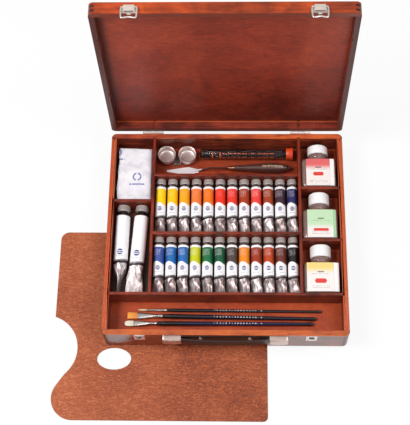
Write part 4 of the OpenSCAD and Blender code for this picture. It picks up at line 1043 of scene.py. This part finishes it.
end = 150  # how far the clear tube runs to its cap
tube = along_charcoal([(0, 0), (0, 7.4), (0.4, 8.3), (1.2, 8.8), (end + 4, 8.8), (end + 4, 8.1), (2, 8.1),
                       (1.2, 7.4), (0.9, 6.8), (0.9, 0)])
skin("charcoal_clear_tube", tube, "charcoal", clear_plastic, ["charcoal_tube"], 40)
skin("charcoal_film", along_charcoal([(12, 8.9), (end - 20, 8.9)]), "charcoal", charcoal_print(),
     (), 40, False)
sticks = []
for i, (y, z, r) in enumerate(((5.2, 0.4, 2.5), (2.4, 4.5, 2.4), (-2.6, 4.4, 2.6), (-5.1, 0, 2.5),
                               (-2.5, -4.6, 2.4), (2.6, -4.5, 2.5), (0, 0, 2.3))):
    s = np.linspace(3, 148 - 3 * (i % 3), 60)
    wobble = 1 + 0.07 * np.sin(s * 0.21 + i * 1.9) + 0.05 * np.sin(s * 0.53 + i)
    across, up = ring(r * wobble, r * wobble, 2.4, 20)
    sticks.append(lid_on(along_x(np.add(CHARCOAL, (0, y, z)), s[:, None], across * 0.96, up * 0.96)))
skin("charcoal_stick_bundle", sticks, "charcoal", charcoal_black, ["charcoal_sticks"], 50)
cap = along_charcoal([(end + s, r) for s, r in (
    (4.6, 0), (4.6, 8.9), (0, 8.9), (0, 9.6), (0.3, 9.8), (7.2, 9.8), (7.5, 10.6), (8, 11.05), (10.9, 11.05),
    (11.5, 10.5), (11.5, 8.8), (10.9, 8.4), (10.9, 0))])
skin("charcoal_orange_cap", cap, "charcoal_cap", cap_orange, ["charcoal_cap"])

# ---- cloth


def folded_cloth():
    """A long cloth folded to and fro in nine layers: x swings between the sides, z climbs a layer at each
    fold. Each layer lies a little uneven, and its ends stand a little in or out."""
    layers, per_layer, rows = 9, 44, 64
    low, high = CLOTH_LOW + [1.6, 1.2, 1], CLOTH_HIGH - [1.6, 1.2, 1.6]
    t = np.linspace(0, layers, layers * per_layer + 1)
    layer = np.floor(t)
    swing = np.abs((t % 2) - 1)
    edge = 1 - np.abs(swing * 2 - 1)
    swing = np.clip(0.5 + (swing - 0.5) * 1.02, 0, 1)
    fold_up, fold_over = smooth((t % 1 - 0.88) / 0.24), smooth((t % 1 + 0.12) / 0.24)
    climb = np.clip((layer + fold_up - (1 - fold_over) * (t % 1 < 0.12)) / (layers - 1), 0, 1)
    v = np.linspace(0, 1, rows)[:, None]
    x = low[0] + (high[0] - low[0]) * (swing + 0.012 * np.sin(layer * 2.1))
    wander = (0.8 * np.sin(v * 7.0 + layer * 0.4) + 0.4 * np.sin(v * 17.0 + layer)) * (1 - swing)
    pad = np.sin(np.pi * v) ** 0.35
    inset = 1.2 * np.sin(layer * 1.3 + 0.5)
    y = low[1] + 0.8 + (high[1] - low[1] - 1.6) * v + inset * (v - 0.5) * 1.2
    y = y - 2.2 * swing * smooth(v * 5 - 4)
    soft = 0.35 * np.sin(v * 9 + t * 1.1) + 0.3 * np.sin(x * 0.16 + v * 3) + 0.22 * np.sin(x * 0.43 - v * 6)
    soft = soft * np.minimum(1, edge * 2 + 0.2)
    z = low[2] + (high[2] - low[2]) * climb * (0.9 + 0.1 * pad) + soft * 0.75 * (climb > 0.02)
    return np.stack([x + wander, y + 0 * t, z + 0 * v * t], -1)


cloth = folded_cloth()
piece = skin("folded_cloth", [cloth], "cloth", white_cotton(), ["cloth_pack"], 80, False)
thick = piece.modifiers.new("cloth", "SOLIDIFY")
thick.thickness, thick.offset = 2.4 * MM, 0

# ---- floor, light and camera

bpy.ops.mesh.primitive_plane_add(size=12)
ground = bpy.context.object
ground.name = "floor"
f = Finish("pale floor", Base_Color=(0.86, 0.86, 0.86, 1), Roughness=0.9)
seen = f.ray("Camera") + f.ray("Glossy") + f.ray("Transmission")
white = f.node("Emission", {}, {"Color": (1, 1, 1, 1), "Strength": 1.0})
both = f.node("MixShader", {}, {0: seen.least(1) * 0.88, 1: Wire(f, f.shader.outputs[0]), 2: white})
f.tree.links.new(both.socket, f.tree.nodes["Material Output"].inputs["Surface"])
ground.data.materials.append(f.material)

world = bpy.data.worlds.new("studio")
world.use_nodes = True
scene.world = world
sky = Nodes(world.node_tree)
background = sky.tree.nodes["Background"]
background.inputs["Color"].default_value = (1, 0.99, 0.98, 1)
shine = sky.ray("Glossy") * 0.25 + sky.ray("Camera").most(sky.ray("Transmission"))
level = sky.node("MapRange", {}, {0: shine, 1: 0, 2: 1, 3: 0.3, 4: 1.0})
sky.tree.links.new(level.socket, background.inputs["Strength"])


def softbox(name, place, aim, size, watts):
    """A square lamp at place, facing aim, in metres."""
    data = bpy.data.lights.new(name, "AREA")
    data.size, data.energy = size, watts
    obj = linked(name, data)
    obj.location = place
    x, y, z = np.subtract(aim, place)
    obj.rotation_euler = Euler((atan2(hypot(x, y), -z), 0, atan2(y, x) - pi / 2))


softbox("key", (-1.25, -0.3, 2.1), (0, 0, 0.05), 0.9, 42)
softbox("fill", (0.8, -1.9, 1.2), (0, 0.1, 0.2), 1.4, 10)
softbox("top", (1.1, -0.15, 2.2), (0, 0.1, 0.1), 1, 17)

camera = bpy.data.cameras.new("camera")
camera.lens = 96.78
camera.shift_x, camera.shift_y = 0.0118, -0.0647
view = linked("camera", camera)
view.location = (0.0221, -0.7446, 1.8220)
view.rotation_euler = Euler([radians(a) for a in (25.179, 1.736, 0.927)])
scene.camera = view
scene.view_settings.view_transform = "Standard"
